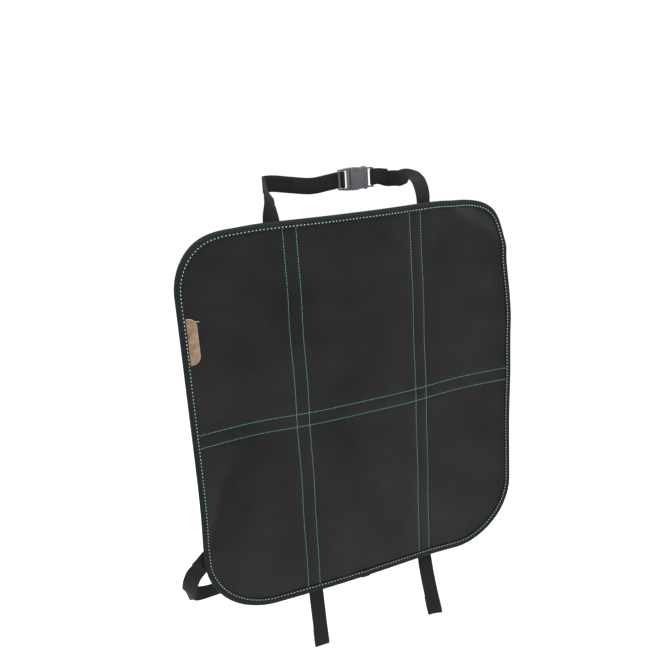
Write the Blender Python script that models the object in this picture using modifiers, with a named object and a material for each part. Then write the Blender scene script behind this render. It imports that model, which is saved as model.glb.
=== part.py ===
"""Car seat protector: a quilted mat with webbing straps and two side-release buckles.

A faux-leather cover, a foam padding and a back lining are held together by a folded edge binding and
by three pairs of quilting seams. Two webbing straps leave the top edge, turn forwards and close the
upper loop in a side-release buckle. Two more leave the side edges and close the lower loop in a second
buckle, and two short straps hang from the bottom edge.

Units are metres, +Z up. The mat stands upright and keeps the shape it has when worn. X runs along its
width, and +Y points from its face to its back. The origin lies midway between the upper loop's two
turns, at the height of the strap that joins them.

The mat is drawn flat first, as (u, depth, v): u across, v up, depth from the cover's face to the
back. worn() then gives each flat point its place on the worn mat.
"""
import math

import bmesh
import bpy
from mathutils import Matrix, Vector

# Mat, laid flat
MAT_WIDTH = 0.450
MAT_HEIGHT = 0.490
TOP_CORNER_RADIUS = 0.073
BOTTOM_CORNER_RADIUS = 0.090
COVER_THICKNESS = 0.0010
FOAM_THICKNESS = 0.0030
LINING_THICKNESS = 0.0008
QUILT_PUFF = 0.0012
FIT_GAP = 0.0003

# Shape the mat takes when worn
SIDE_BOW = 0.0308
EDGE_RETURN = 0.0269
HEIGHT_BOW = 0.0033
SHOULDER_WRAP = 0.0101
WRAP_SHORTENING = 0.0125

# Edge binding and seams
BINDING_WIDTH = 0.0090
BINDING_THICKNESS = 0.0009
EDGE_SEAM_INSET = 0.0070
EDGE_THREAD_WIDTH = 0.0010
QUILT_THREAD_WIDTH = 0.0014
THREAD_HEIGHT = 0.0006
SEAM_PAIR_GAP = 0.0162
UPRIGHT_SEAM_CENTRE = 0.0831
CROSS_SEAM_CENTRE = -0.0005

# Leather tab on the left edge
TAB_WIDTH = 0.0130
TAB_HEIGHT = 0.0560
TAB_DROP = 0.1230
TAB_THICKNESS = 0.0015
TAB_CORNER_RADIUS = 0.0100

# Webbing
STRAP_WIDTH = 0.0200
STRAP_THICKNESS = 0.0013
SEWN_LENGTH = 0.0280
TOP_STRAP_CENTRE = 0.1010
BOTTOM_STRAP_LENGTH = 0.0740
BOTTOM_HEM = 0.0240
LEFT_LEAN = 0.13
RIGHT_LEAN = 0.34
ADJUSTER_TAIL = 0.0520
SEWN_TAIL = 0.0120

# Upper loop, with a round turn at each side
TURN_SPACING = 0.165
TURN_RADIUS = 0.0065
TURN_DEPTH = 0.0620
TURN_PLAY = 0.0015
LOOP_RISE = 0.0310
SHOULDER_RISE = 0.0050

# Lower loop
SIDE_STRAP_DROP = 0.0900
SIDE_STRAP_SLOPE = 0.60
LEFT_OVERHANG = 0.0047
RIGHT_OVERHANG = -0.0080
LEFT_BULGE = 0.0080
RIGHT_BULGE = -0.0050
LEFT_FIRST_FALL = 0.07
RIGHT_FIRST_FALL = 0.02
BELT_CORNER = 0.0240
BELT_DEPTH = 0.1570
BELT_DROP = 0.0550

# Side-release buckle for the webbing
SLOT_SIDE_PLAY = 0.0008
RAIL_WIDTH = 0.0016
BODY_FLARE = 0.0016
CENTRE_BAR = 0.0020
OUTER_BAR = 0.0022
INNER_SLOT_PLAY = 0.0034
OUTER_SLOT_PLAY = 0.0016
BEND_PLAY = 0.00005
BAR_PLAY = 0.0001
PLUG_BASE = 0.0026
MOUTH_GAP = 0.0005
ARM_WIDTH = 0.0026
PRONG_HALF_DEPTH = 0.0019
PRONG_PLAY = 0.0004
HOUSING_WALL = 0.0019
SIDE_WALL = 0.0028
WINDOW_START = 0.0075
WINDOW_LENGTH = 0.0140
CAVITY_END_ROOM = 0.0010
TAIL_BAR_RADIUS = 0.0012
TAIL_BAR_INSET = 0.0090
TAIL_SLOT_ROOM = 0.0040
TAIL_END = 0.0018
BUCKLE_OFFSET = 0.0261
EDGE_ROUND = 0.0007
PRONG_ROUND = 0.0003
GRIP_RADIUS = 0.0110
GRIP_BITE = 0.0013
PANEL_INSET = 0.0026
PANEL_DEPTH = 0.0003
PANEL_CORNER = 0.0018

# Mesh density
CELL = 0.047
CORNER_SEGMENTS = 8
ROUTE_STEP = 0.009
BEND_SEGMENTS = 4
GRIP_SEGMENTS = 48

# Heights, from the mat's centre
TAB_CENTRE = MAT_HEIGHT / 2 - TAB_DROP
LOOP_HEIGHT = MAT_HEIGHT / 2 + LOOP_RISE
BELT_HEIGHT = -(MAT_HEIGHT / 2 + BELT_DROP)

# Depths through the mat, from the cover's face
FOAM_FRONT = COVER_THICKNESS + FIT_GAP
FOAM_BACK = FOAM_FRONT + FOAM_THICKNESS
LINING_FRONT = FOAM_BACK + FIT_GAP
MAT_BACK = LINING_FRONT + LINING_THICKNESS
EDGE_BEND = MAT_BACK / 2 + FIT_GAP
SHEET_INSET = BINDING_THICKNESS + EDGE_BEND
HALF_STRAP = STRAP_THICKNESS / 2
STRAP_DEPTH = MAT_BACK + FIT_GAP + BINDING_THICKNESS + FIT_GAP + HALF_STRAP
STRAP_LAYER = STRAP_THICKNESS + FIT_GAP
STRAP_BEND = HALF_STRAP + FIT_GAP + BEND_PLAY

# Buckle stations along its length, from the socket's mouth
BASE_FACE = -MOUTH_GAP
INNER_SLOT_END = BASE_FACE - PLUG_BASE
CENTRE_BAR_END = INNER_SLOT_END - 2 * STRAP_BEND - INNER_SLOT_PLAY
CENTRE_BAR_START = CENTRE_BAR_END - CENTRE_BAR
OUTER_BAR_END = CENTRE_BAR_START - 2 * STRAP_BEND - OUTER_SLOT_PLAY
PLUG_START = OUTER_BAR_END - OUTER_BAR
WINDOW_END = WINDOW_START + WINDOW_LENGTH
CAVITY_END = WINDOW_END + CAVITY_END_ROOM
TAIL_BAR_CENTRE = CAVITY_END + TAIL_BAR_INSET
SOCKET_END = TAIL_BAR_CENTRE + TAIL_END

# Buckle half widths and half depths
SLOT_HALF = STRAP_WIDTH / 2 + SLOT_SIDE_PLAY
TAIL_HALF = SLOT_HALF + RAIL_WIDTH
MOUTH_HALF = TAIL_HALF + BODY_FLARE
CAVITY_HALF = MOUTH_HALF - SIDE_WALL
BAR_TOP = -(STRAP_BEND + BAR_PLAY)
OVER_BAR = BAR_TOP - HALF_STRAP - FIT_GAP
FRAME_HALF_DEPTH = -OVER_BAR + HALF_STRAP + BAR_PLAY
CAVITY_HALF_DEPTH = PRONG_HALF_DEPTH + PRONG_PLAY
HOUSING_HALF_DEPTH = CAVITY_HALF_DEPTH + HOUSING_WALL

LEFT = -1
RIGHT = 1


def clear_scene():
    """Remove every object that the scene holds."""
    for thing in list(bpy.data.objects):
        bpy.data.objects.remove(thing, do_unlink=True)


def make_material(name, colour, roughness, metallic=0.0):
    """Return a Principled material of one colour."""
    material = bpy.data.materials.new(name)
    material.use_nodes = True
    shader = material.node_tree.nodes["Principled BSDF"]
    shader.inputs["Base Color"].default_value = (*colour, 1.0)
    shader.inputs["Roughness"].default_value = roughness
    shader.inputs["Metallic"].default_value = metallic
    return material


def make_collection(name):
    """Return a new collection linked to the scene."""
    collection = bpy.data.collections.new(name)
    bpy.context.scene.collection.children.link(collection)
    return collection


clear_scene()
PARTS = make_collection("car_seat_protector")
CUTTERS = make_collection("cutters")
FAUX_LEATHER = make_material("faux_leather", (0.030, 0.031, 0.032), 0.55)
FOAM = make_material("foam", (0.090, 0.090, 0.092), 0.95)
LINING = make_material("lining_cloth", (0.040, 0.041, 0.043), 0.90)
BINDING_TAPE = make_material("binding_tape", (0.022, 0.026, 0.026), 0.80)
TEAL_THREAD = make_material("teal_thread", (0.150, 0.420, 0.360), 0.60)
TAN_LEATHER = make_material("tan_leather", (0.480, 0.260, 0.130), 0.60)
WEBBING = make_material("webbing", (0.028, 0.028, 0.029), 0.80)
BUCKLE_PLASTIC = make_material("buckle_plastic", (0.030, 0.031, 0.034), 0.40)

# Every piece hangs from this point: the mat's centre, seen from the upper loop's middle
MAT_CENTRE = bpy.data.objects.new("mat_centre", None)
MAT_CENTRE.location = (0.0, -TURN_DEPTH, -LOOP_HEIGHT)
PARTS.objects.link(MAT_CENTRE)


def add_piece(name, bm, material, parent=MAT_CENTRE, smooth=None):
    """Turn a bmesh into a named piece of the protector and return its object."""
    mesh = bpy.data.meshes.new(name)
    bmesh.ops.recalc_face_normals(bm, faces=bm.faces[:])
    bm.to_mesh(mesh)
    bm.free()
    mesh.materials.append(material)
    if smooth is not None:
        mesh.shade_smooth()
        mesh.set_sharp_from_angle(angle=smooth)
    piece = bpy.data.objects.new(name, mesh)
    piece.parent = parent
    PARTS.objects.link(piece)
    return piece


def quilt_puff(u, v):
    """Return how far the padding swells at a flat point: nothing on a seam, most in mid panel."""
    half_pair = SEAM_PAIR_GAP / 2
    side = MAT_WIDTH / 2 - BINDING_WIDTH
    top = MAT_HEIGHT / 2 - BINDING_WIDTH
    columns = (
        (-side, -UPRIGHT_SEAM_CENTRE - half_pair),
        (-UPRIGHT_SEAM_CENTRE + half_pair, UPRIGHT_SEAM_CENTRE - half_pair),
        (UPRIGHT_SEAM_CENTRE + half_pair, side),
    )
    rows = ((-top, CROSS_SEAM_CENTRE - half_pair), (CROSS_SEAM_CENTRE + half_pair, top))
    return QUILT_PUFF * swell(u, columns) * swell(v, rows)


def swell(place, spans):
    """Return 0 to 1: the height of a round hump over whichever span holds the place."""
    for low, high in spans:
        if low < place < high:
            share = (place - low) / (high - low)
            return math.sqrt(4 * share * (1 - share))
    return 0.0


def worn(u, v, depth):
    """Return where a flat point of the mat lies when the mat is worn."""
    s = u / (MAT_WIDTH / 2)
    t = v / (MAT_HEIGHT / 2)
    bow = SIDE_BOW * s**2 - EDGE_RETURN * s**4 + HEIGHT_BOW * t**2 + SHOULDER_WRAP * s**2 * t
    padding_share = min(max((FOAM_BACK - depth) / FOAM_THICKNESS, 0.0), 1.0)
    return Vector((u * (1 - WRAP_SHORTENING * s**2), bow + depth - padding_share * quilt_puff(u, v), v))


def mat_outline(inset):
    """Return the mat's outline, drawn inwards by an inset, as flat (u, v) points."""
    corners = (
        (RIGHT, 1, TOP_CORNER_RADIUS, 0.0),
        (LEFT, 1, TOP_CORNER_RADIUS, 0.5 * math.pi),
        (LEFT, -1, BOTTOM_CORNER_RADIUS, math.pi),
        (RIGHT, -1, BOTTOM_CORNER_RADIUS, 1.5 * math.pi),
    )
    points = []
    for side, end, radius, start in corners:
        centre_u = side * (MAT_WIDTH / 2 - radius)
        centre_v = end * (MAT_HEIGHT / 2 - radius)
        for step in range(CORNER_SEGMENTS + 1):
            angle = start + 0.5 * math.pi * step / CORNER_SEGMENTS
            reach = radius - inset
            points.append((centre_u + reach * math.cos(angle), centre_v + reach * math.sin(angle)))
    return points


def span_lines(low, high):
    """Return evenly spaced cut lines strictly between two lines, no further apart than a cell."""
    count = math.ceil((high - low) / CELL)
    return [low + (high - low) * step / count for step in range(1, count)]


def grid_lines():
    """Return the cut lines across and up the mat: seams, the tab's edge and even cells between."""
    half_pair = SEAM_PAIR_GAP / 2
    seam_in = UPRIGHT_SEAM_CENTRE - half_pair
    seam_out = UPRIGHT_SEAM_CENTRE + half_pair
    tab_edge = MAT_WIDTH / 2 - BINDING_WIDTH - FIT_GAP - TAB_WIDTH
    outer = [seam_in, seam_out, tab_edge, *span_lines(seam_out, tab_edge)]
    across = [-u for u in outer] + span_lines(-seam_in, seam_in) + outer
    lower = CROSS_SEAM_CENTRE - half_pair
    upper = CROSS_SEAM_CENTRE + half_pair
    reach = MAT_HEIGHT / 2 - BINDING_WIDTH
    up = [lower, upper, *span_lines(-reach, lower), *span_lines(upper, reach)]
    return across, up


def cut_to_grid(bm):
    """Cut a flat mesh along the shared grid, so that neighbouring layers bend alike."""
    across, up = grid_lines()
    cuts = [((u, 0.0, 0.0), (1.0, 0.0, 0.0)) for u in across]
    cuts += [((0.0, 0.0, v), (0.0, 0.0, 1.0)) for v in up]
    for point, normal in cuts:
        geometry = bm.verts[:] + bm.edges[:] + bm.faces[:]
        bmesh.ops.bisect_plane(bm, geom=geometry, dist=1e-6, plane_co=point, plane_no=normal)


def wear(bm):
    """Move every vertex of a flat mesh to its place on the worn mat."""
    for vertex in bm.verts:
        vertex.co = worn(vertex.co.x, vertex.co.z, vertex.co.y)


def flat_face(bm, points, depth):
    """Add one face with the given outline at a depth, and return it."""
    return bm.faces.new([bm.verts.new((u, depth, v)) for u, v in points])


def thicken(bm, thickness):
    """Turn the open faces of a flat mesh into a slab that reaches further back."""
    extruded = bmesh.ops.extrude_face_region(bm, geom=bm.faces[:])["geom"]
    verts = [item for item in extruded if isinstance(item, bmesh.types.BMVert)]
    bmesh.ops.translate(bm, verts=verts, vec=(0.0, thickness, 0.0))


def build_sheet(name, front, thickness, material):
    """Build one layer of the mat, edge to edge inside the binding."""
    bm = bmesh.new()
    outer = [bm.verts.new((u, front, v)) for u, v in mat_outline(SHEET_INSET)]
    inner = [bm.verts.new((u, front, v)) for u, v in mat_outline(BINDING_WIDTH)]
    rims = [
        bm.edges.new((ring[i], ring[(i + 1) % len(ring)]))
        for ring in (outer, inner)
        for i in range(len(ring))
    ]
    bmesh.ops.bridge_loops(bm, edges=rims)
    bm.faces.new(inner)
    cut_to_grid(bm)
    bmesh.ops.triangulate(bm, faces=bm.faces[:])
    thicken(bm, thickness)
    wear(bm)
    return add_piece(name, bm, material, smooth=math.radians(30))


def build_swept_ring(name, profile, material):
    """Sweep a closed profile of (inset, depth) points round the mat's edge."""
    rings = [mat_outline(inset) for inset, _ in profile]
    stations = len(rings[0])
    bm = bmesh.new()
    bmesh.ops.create_grid(bm, x_segments=stations, y_segments=len(profile), size=0.5)
    bm.verts.ensure_lookup_table()
    for index, vertex in enumerate(bm.verts):
        row, column = divmod(index, stations + 1)
        u, v = rings[row % len(profile)][column % stations]
        vertex.co = (u, profile[row % len(profile)][1], v)
    bmesh.ops.remove_doubles(bm, verts=bm.verts[:], dist=1e-6)
    cut_to_grid(bm)
    wear(bm)
    return add_piece(name, bm, material, smooth=math.radians(40))


def binding_profile():
    """Return the section of the folded tape: a leg on each face and a round turn at the edge."""
    middle = MAT_BACK / 2
    outer_bend = EDGE_BEND + BINDING_THICKNESS
    centre = SHEET_INSET

    def turn(radius, count):
        """Return the points of the half turn at one radius, from front to back."""
        angles = [math.pi * step / count for step in range(count + 1)]
        return [(centre - radius * math.sin(a), middle - radius * math.cos(a)) for a in angles]

    outer = [(BINDING_WIDTH, -FIT_GAP - BINDING_THICKNESS), *turn(outer_bend, BEND_SEGMENTS)]
    outer.append((BINDING_WIDTH, MAT_BACK + FIT_GAP + BINDING_THICKNESS))
    inner = [(BINDING_WIDTH, MAT_BACK + FIT_GAP), *reversed(turn(EDGE_BEND, BEND_SEGMENTS))]
    inner.append((BINDING_WIDTH, -FIT_GAP))
    return outer + inner


def build_edge_thread():
    """Build the seam that runs round the binding's face."""
    low = EDGE_SEAM_INSET - EDGE_THREAD_WIDTH / 2
    high = EDGE_SEAM_INSET + EDGE_THREAD_WIDTH / 2
    back = -FIT_GAP - BINDING_THICKNESS - FIT_GAP
    front = back - THREAD_HEIGHT
    profile = [(high, front), (low, front), (low, back), (high, back)]
    return build_swept_ring("edge_thread", profile, TEAL_THREAD)


def build_quilting_thread():
    """Build the six quilting seams as one crossing lattice of thread."""
    half_pair = SEAM_PAIR_GAP / 2
    half_thread = QUILT_THREAD_WIDTH / 2
    side = MAT_WIDTH / 2 - BINDING_WIDTH - FIT_GAP
    top = MAT_HEIGHT / 2 - BINDING_WIDTH - FIT_GAP
    upright = [s * UPRIGHT_SEAM_CENTRE + p * half_pair for s in (LEFT, RIGHT) for p in (-1, 1)]
    cross = [CROSS_SEAM_CENTRE + p * half_pair for p in (-1, 1)]
    bm = bmesh.new()
    flat_face(bm, [(-side, -top), (side, -top), (side, top), (-side, top)], -FIT_GAP - THREAD_HEIGHT)
    edges = [((u + e * half_thread, 0, 0), (1, 0, 0)) for u in upright for e in (-1, 1)]
    edges += [((0, 0, v + e * half_thread), (0, 0, 1)) for v in cross for e in (-1, 1)]
    for point, normal in edges:
        geometry = bm.verts[:] + bm.edges[:] + bm.faces[:]
        bmesh.ops.bisect_plane(bm, geom=geometry, dist=1e-6, plane_co=point, plane_no=normal)
    spare = []
    for face in bm.faces:
        middle = face.calc_center_median()
        on_upright = any(abs(middle.x - u) < half_thread for u in upright)
        on_cross = any(abs(middle.z - v) < half_thread for v in cross)
        if not on_upright and not on_cross:
            spare.append(face)
    bmesh.ops.delete(bm, geom=spare, context="FACES")
    cut_to_grid(bm)
    thicken(bm, THREAD_HEIGHT)
    wear(bm)
    return add_piece("quilting_thread", bm, TEAL_THREAD)


def build_tab():
    """Build the leather tab that stands in from the binding on the left edge."""
    left = -MAT_WIDTH / 2 + BINDING_WIDTH + FIT_GAP
    right = left + TAB_WIDTH
    top = TAB_CENTRE + TAB_HEIGHT / 2
    bottom = TAB_CENTRE - TAB_HEIGHT / 2
    points = [(left, top), (left, bottom)]
    for centre_v, start in ((bottom + TAB_CORNER_RADIUS, -0.5 * math.pi), (top - TAB_CORNER_RADIUS, 0.0)):
        for step in range(CORNER_SEGMENTS + 1):
            angle = start + 0.5 * math.pi * step / CORNER_SEGMENTS
            points.append((
                right - TAB_CORNER_RADIUS + TAB_CORNER_RADIUS * math.cos(angle),
                centre_v + TAB_CORNER_RADIUS * math.sin(angle),
            ))
    bm = bmesh.new()
    flat_face(bm, points, -FIT_GAP - TAB_THICKNESS)
    cut_to_grid(bm)
    thicken(bm, TAB_THICKNESS)
    wear(bm)
    return add_piece("side_tab", bm, TAN_LEATHER, smooth=math.radians(40))


def smooth_route(stations):
    """Run a smooth curve through (centre, across) stations, with even steps on the long stretches."""
    route = []
    last = len(stations) - 1
    for i in range(last):
        before, start = stations[max(i - 1, 0)], stations[i]
        end, after = stations[i + 1], stations[min(i + 2, last)]
        span = (end[0] - start[0]).length
        steps = max(1, math.ceil(span / ROUTE_STEP))
        lead_in = tangent(before[0], start[0], end[0]) * span
        lead_out = tangent(start[0], end[0], after[0]) * span
        for step in range(steps):
            f = step / steps
            centre = (
                (2 * f**3 - 3 * f**2 + 1) * start[0] + (f**3 - 2 * f**2 + f) * lead_in
                + (3 * f**2 - 2 * f**3) * end[0] + (f**3 - f**2) * lead_out
            )
            route.append((centre, start[1].lerp(end[1], f)))
    route.append(stations[-1])
    return route


def tangent(before, here, after):
    """Return the unit direction of a route at a point, weighted towards its shorter side."""
    back, ahead = here - before, after - here
    if back.length < 1e-9:
        return ahead.normalized()
    if ahead.length < 1e-9:
        return back.normalized()
    return (back.normalized() * ahead.length + ahead.normalized() * back.length).normalized()


def build_strap(name, stations):
    """Build a length of flat webbing along (centre, across) stations."""
    route = smooth_route(stations)
    last = len(route) - 1
    half_width = STRAP_WIDTH / 2
    section = ((-1, -1), (1, -1), (1, 1), (-1, 1))
    bm = bmesh.new()
    bmesh.ops.create_grid(bm, x_segments=len(section), y_segments=last, size=0.5)
    bm.verts.ensure_lookup_table()
    for index, vertex in enumerate(bm.verts):
        row, column = divmod(index, len(section) + 1)
        centre, across = route[row]
        along = tangent(route[max(row - 1, 0)][0], centre, route[min(row + 1, last)][0])
        across = (across - along * across.dot(along)).normalized()
        side, face = section[column % len(section)]
        vertex.co = centre + across * side * half_width + along.cross(across) * face * HALF_STRAP
    bmesh.ops.remove_doubles(bm, verts=bm.verts[:], dist=1e-6)
    bmesh.ops.holes_fill(bm, edges=bm.edges[:], sides=len(section))
    return add_piece(name, bm, WEBBING, smooth=math.radians(50))


def arc(centre, radius, start, end, segments=BEND_SEGMENTS):
    """Return the (x, y) points of an arc, its angles in degrees."""
    points = []
    for step in range(segments + 1):
        angle = math.radians(start + (end - start) * step / segments)
        points.append((centre[0] + radius * math.cos(angle), centre[1] + radius * math.sin(angle)))
    return points


def on_mat(u, v, turn=0.0):
    """Return a strap station on the mat's back, its width turned from level by an angle."""
    reach = STRAP_WIDTH / 2
    du, dv = reach * math.cos(turn), reach * math.sin(turn)
    across = worn(u + du, v + dv, STRAP_DEPTH) - worn(u - du, v - dv, STRAP_DEPTH)
    return worn(u, v, STRAP_DEPTH), across.normalized()


def in_buckle(points, frame, across):
    """Place (x, y) points of a buckle's own section in the mat's frame as strap stations."""
    return [(frame @ Vector((x, y, 0.0)), across) for x, y in points]


def adjuster_threading():
    """Return the webbing's path through the plug's ladder: in below, over the bar and back out."""
    below = STRAP_LAYER
    first_turn = arc((CENTRE_BAR_END, below - STRAP_BEND), STRAP_BEND, 90, 0)
    over_end = arc((CENTRE_BAR_END, OVER_BAR + STRAP_BEND), STRAP_BEND, 0, -90)
    over_start = arc((CENTRE_BAR_START, OVER_BAR + STRAP_BEND), STRAP_BEND, -90, -180)
    last_turn = arc((CENTRE_BAR_START - 2 * STRAP_BEND, -STRAP_BEND), STRAP_BEND, 0, 90)
    entry = (PLUG_START - STRAP_WIDTH / 2, below)
    tail = (PLUG_START - ADJUSTER_TAIL, 0.0)
    near_tail = (PLUG_START - STRAP_WIDTH / 2, 0.0)
    return [entry, (PLUG_START, below), *first_turn, *over_end, *over_start, *last_turn, near_tail, tail]


def sewn_loop():
    """Return the webbing's path round the socket's tail bar, ending in its sewn tail."""
    radius = TAIL_BAR_RADIUS + FIT_GAP + HALF_STRAP
    flat = STRAP_LAYER / 2
    join = SOCKET_END + 3 * radius
    loop = arc((TAIL_BAR_CENTRE, 0.0), radius, 90, 270, 2 * BEND_SEGMENTS)
    return [(join, flat), *loop, (join, -flat), (join + SEWN_TAIL, -flat)]


def build_top_strap(side, frame):
    """Build a top strap: up behind the binding, forwards, round the loop's turn to the buckle."""
    u = side * TOP_STRAP_CENTRE
    top = MAT_HEIGHT / 2
    sewn = [on_mat(u, top - back) for back in (SEWN_LENGTH, SEWN_LENGTH / 2, 0.0)]
    stations = [(centre, side * across) for centre, across in sewn]
    edge_depth = stations[-1][0].y
    turn_x = TURN_SPACING / 2
    wrap = TURN_RADIUS + TURN_PLAY + HALF_STRAP
    crest = LOOP_HEIGHT + SHOULDER_RISE
    rise, run = crest - top, TURN_DEPTH - edge_depth
    outside = turn_x + wrap
    reach = TOP_STRAP_CENTRE - outside
    # Each row: share of the way in to the turn, forward and up, then the width's direction
    free = {
        LEFT: (
            (0.02, 0.02, 0.25, (-1.00, -0.25, 0.00)),
            (0.10, 0.06, 0.60, (-0.80, -0.60, 0.05)),
            (0.30, 0.20, 0.92, (-0.70, -0.50, 0.45)),
            (0.62, 0.46, 1.00, (-0.45, -0.20, 0.85)),
            (0.92, 0.76, 0.94, (-0.10, -0.05, 1.00)),
        ),
        RIGHT: (
            (0.00, 0.03, 0.25, (1.00, 0.05, 0.00)),
            (0.03, 0.11, 0.50, (1.00, 0.00, 0.02)),
            (0.10, 0.26, 0.68, (0.99, 0.00, 0.06)),
            (0.28, 0.48, 0.77, (0.90, 0.00, 0.38)),
            (0.60, 0.71, 0.83, (0.55, 0.00, 0.84)),
            (0.93, 0.88, 0.87, (0.08, 0.00, 1.00)),
        ),
    }
    for inward, forward, upward, across in free[side]:
        x = side * (TOP_STRAP_CENTRE - inward * reach)
        centre = Vector((x, edge_depth + forward * run, top + upward * rise))
        stations.append((centre, Vector(across).normalized()))
    upright = Vector((0.0, 0.0, 1.0))
    for x, y in arc((turn_x, TURN_DEPTH), wrap, 0, 90):
        stations.append((Vector((side * x, y, LOOP_HEIGHT)), upright))
    if side == LEFT:
        stations += in_buckle(adjuster_threading(), frame, upright)
        return build_strap("top_strap_left", stations)
    stations += in_buckle(sewn_loop(), frame, upright)
    return build_strap("top_strap_right", stations)


def build_side_strap(side, frame):
    """Build a side strap: from the mat's back past its edge, forwards and round to the lower buckle."""
    half_width = MAT_WIDTH / 2
    bulge = LEFT_BULGE if side == LEFT else RIGHT_BULGE
    overhang = LEFT_OVERHANG if side == LEFT else RIGHT_OVERHANG
    first_fall = LEFT_FIRST_FALL if side == LEFT else RIGHT_FIRST_FALL
    slope = math.atan(SIDE_STRAP_SLOPE)
    edge_v = -MAT_HEIGHT / 2 + SIDE_STRAP_DROP
    turn = slope + 0.5 * math.pi
    stations = []
    for share in (1.0, 0.5, 0.08, 0.0):
        back = SEWN_LENGTH * share - overhang
        u = half_width - back * math.cos(slope)
        v = edge_v + back * math.sin(slope)
        centre, across = on_mat(-u, v, turn)
        stations.append((centre, across))
    edge = stations[-1][0]
    forward = BELT_DEPTH - edge.y
    fall = edge.z - BELT_HEIGHT
    tilt = Vector((-math.sin(slope), 0.0, math.cos(slope)))
    along_side = Vector((0.0, math.sin(slope), math.cos(slope)))
    level = Vector((0.0, 0.0, 1.0))
    # Each row: place to the side, share of the way forward and down, then the width's direction
    free = (
        (half_width + 0.75 * bulge, 0.05, first_fall, tilt.lerp(along_side, 0.5)),
        (half_width + 1.20 * bulge, 0.14, first_fall + 0.09, tilt.lerp(along_side, 0.9)),
        (half_width + 1.30 * bulge, 0.32, 0.33, along_side),
        (half_width + 0.80 * bulge, 0.56, 0.54, along_side),
        (half_width - 0.12 * BELT_CORNER, 0.80, 0.80, along_side.lerp(level, 0.2)),
        (half_width - 1.00 * BELT_CORNER, 0.96, 0.97, along_side.lerp(level, 0.7)),
        (half_width - 2.25 * BELT_CORNER, 1.00, 1.00, level),
        (half_width / 2, 1.00, 1.00, level),
    )
    for place, ahead, down, across in free:
        centre = Vector((-place, edge.y + ahead * forward, edge.z - down * fall))
        stations.append((centre, across.normalized()))
    if side == RIGHT:
        mirror = Matrix.Diagonal((-1.0, 1.0, 1.0))
        stations = [(mirror @ centre, mirror @ across) for centre, across in stations]
    threading = adjuster_threading() if side == LEFT else sewn_loop()
    stations += in_buckle(threading, frame, level)
    name = "side_strap_left" if side == LEFT else "side_strap_right"
    return build_strap(name, stations)


def build_bottom_strap(side, lean):
    """Build a bottom strap: it hangs from behind the bottom edge and ends in a folded hem."""
    u = side * UPRIGHT_SEAM_CENTRE
    bottom = -MAT_HEIGHT / 2
    stations = [on_mat(u, bottom + SEWN_LENGTH), on_mat(u, bottom + SEWN_LENGTH / 2), on_mat(u, bottom)]
    start, across = stations[-1]
    down = Vector((0.0, -lean, -1.0)).normalized()
    behind = Vector((0.0, 1.0, -lean)).normalized()
    drop = BOTTOM_STRAP_LENGTH
    for share in (0.15, 0.45, 1.0):
        stations.append((start + down * (drop - BOTTOM_HEM) * share, across))
    fold = STRAP_LAYER / 2
    for x, y in arc((drop, fold), fold, -90, 90, 2 * BEND_SEGMENTS):
        stations.append((start + down * x + behind * y, across))
    stations.append((start + down * (drop - BOTTOM_HEM) + behind * STRAP_LAYER, across))
    name = "bottom_strap_left" if side == LEFT else "bottom_strap_right"
    return build_strap(name, stations)


def prism(points, half_depth):
    """Return a bmesh: an outline of (x, z) points given depth both ways along Y."""
    bm = bmesh.new()
    flat_face(bm, points, -half_depth)
    thicken(bm, 2 * half_depth)
    return bm


def both_sides(half):
    """Return a closed outline from the half above the X axis."""
    return half + [(x, -z) for x, z in reversed(half) if z > 1e-9]


def add_cutter(name, bm, parent):
    """Turn a bmesh into a hidden cutter."""
    cutter = add_piece(name, bm, BUCKLE_PLASTIC, parent)
    PARTS.objects.unlink(cutter)
    CUTTERS.objects.link(cutter)
    cutter.hide_render = True
    cutter.display_type = "WIRE"
    return cutter


def box_cutter(name, parent, low, high):
    """Add a box cutter between two corners."""
    bm = bmesh.new()
    bmesh.ops.create_cube(bm, size=1.0)
    size = Vector(high) - Vector(low)
    middle = (Vector(high) + Vector(low)) / 2
    for vertex in bm.verts:
        vertex.co = Vector((vertex.co.x * size.x, vertex.co.y * size.y, vertex.co.z * size.z)) + middle
    return add_cutter(name, bm, parent)


def combine(piece, tool, operation):
    """Add an exact Boolean of a tool to a piece."""
    modifier = piece.modifiers.new(tool.name, "BOOLEAN")
    modifier.operation = operation
    modifier.solver = "EXACT"
    modifier.object = tool


def round_edges(piece, radius=EDGE_ROUND, segments=2):
    """Round the sharp edges of a moulding."""
    bevel = piece.modifiers.new("moulded_edges", "BEVEL")
    bevel.width = radius
    bevel.segments = segments
    bevel.limit_method = "ANGLE"
    bevel.angle_limit = math.radians(40)


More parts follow.
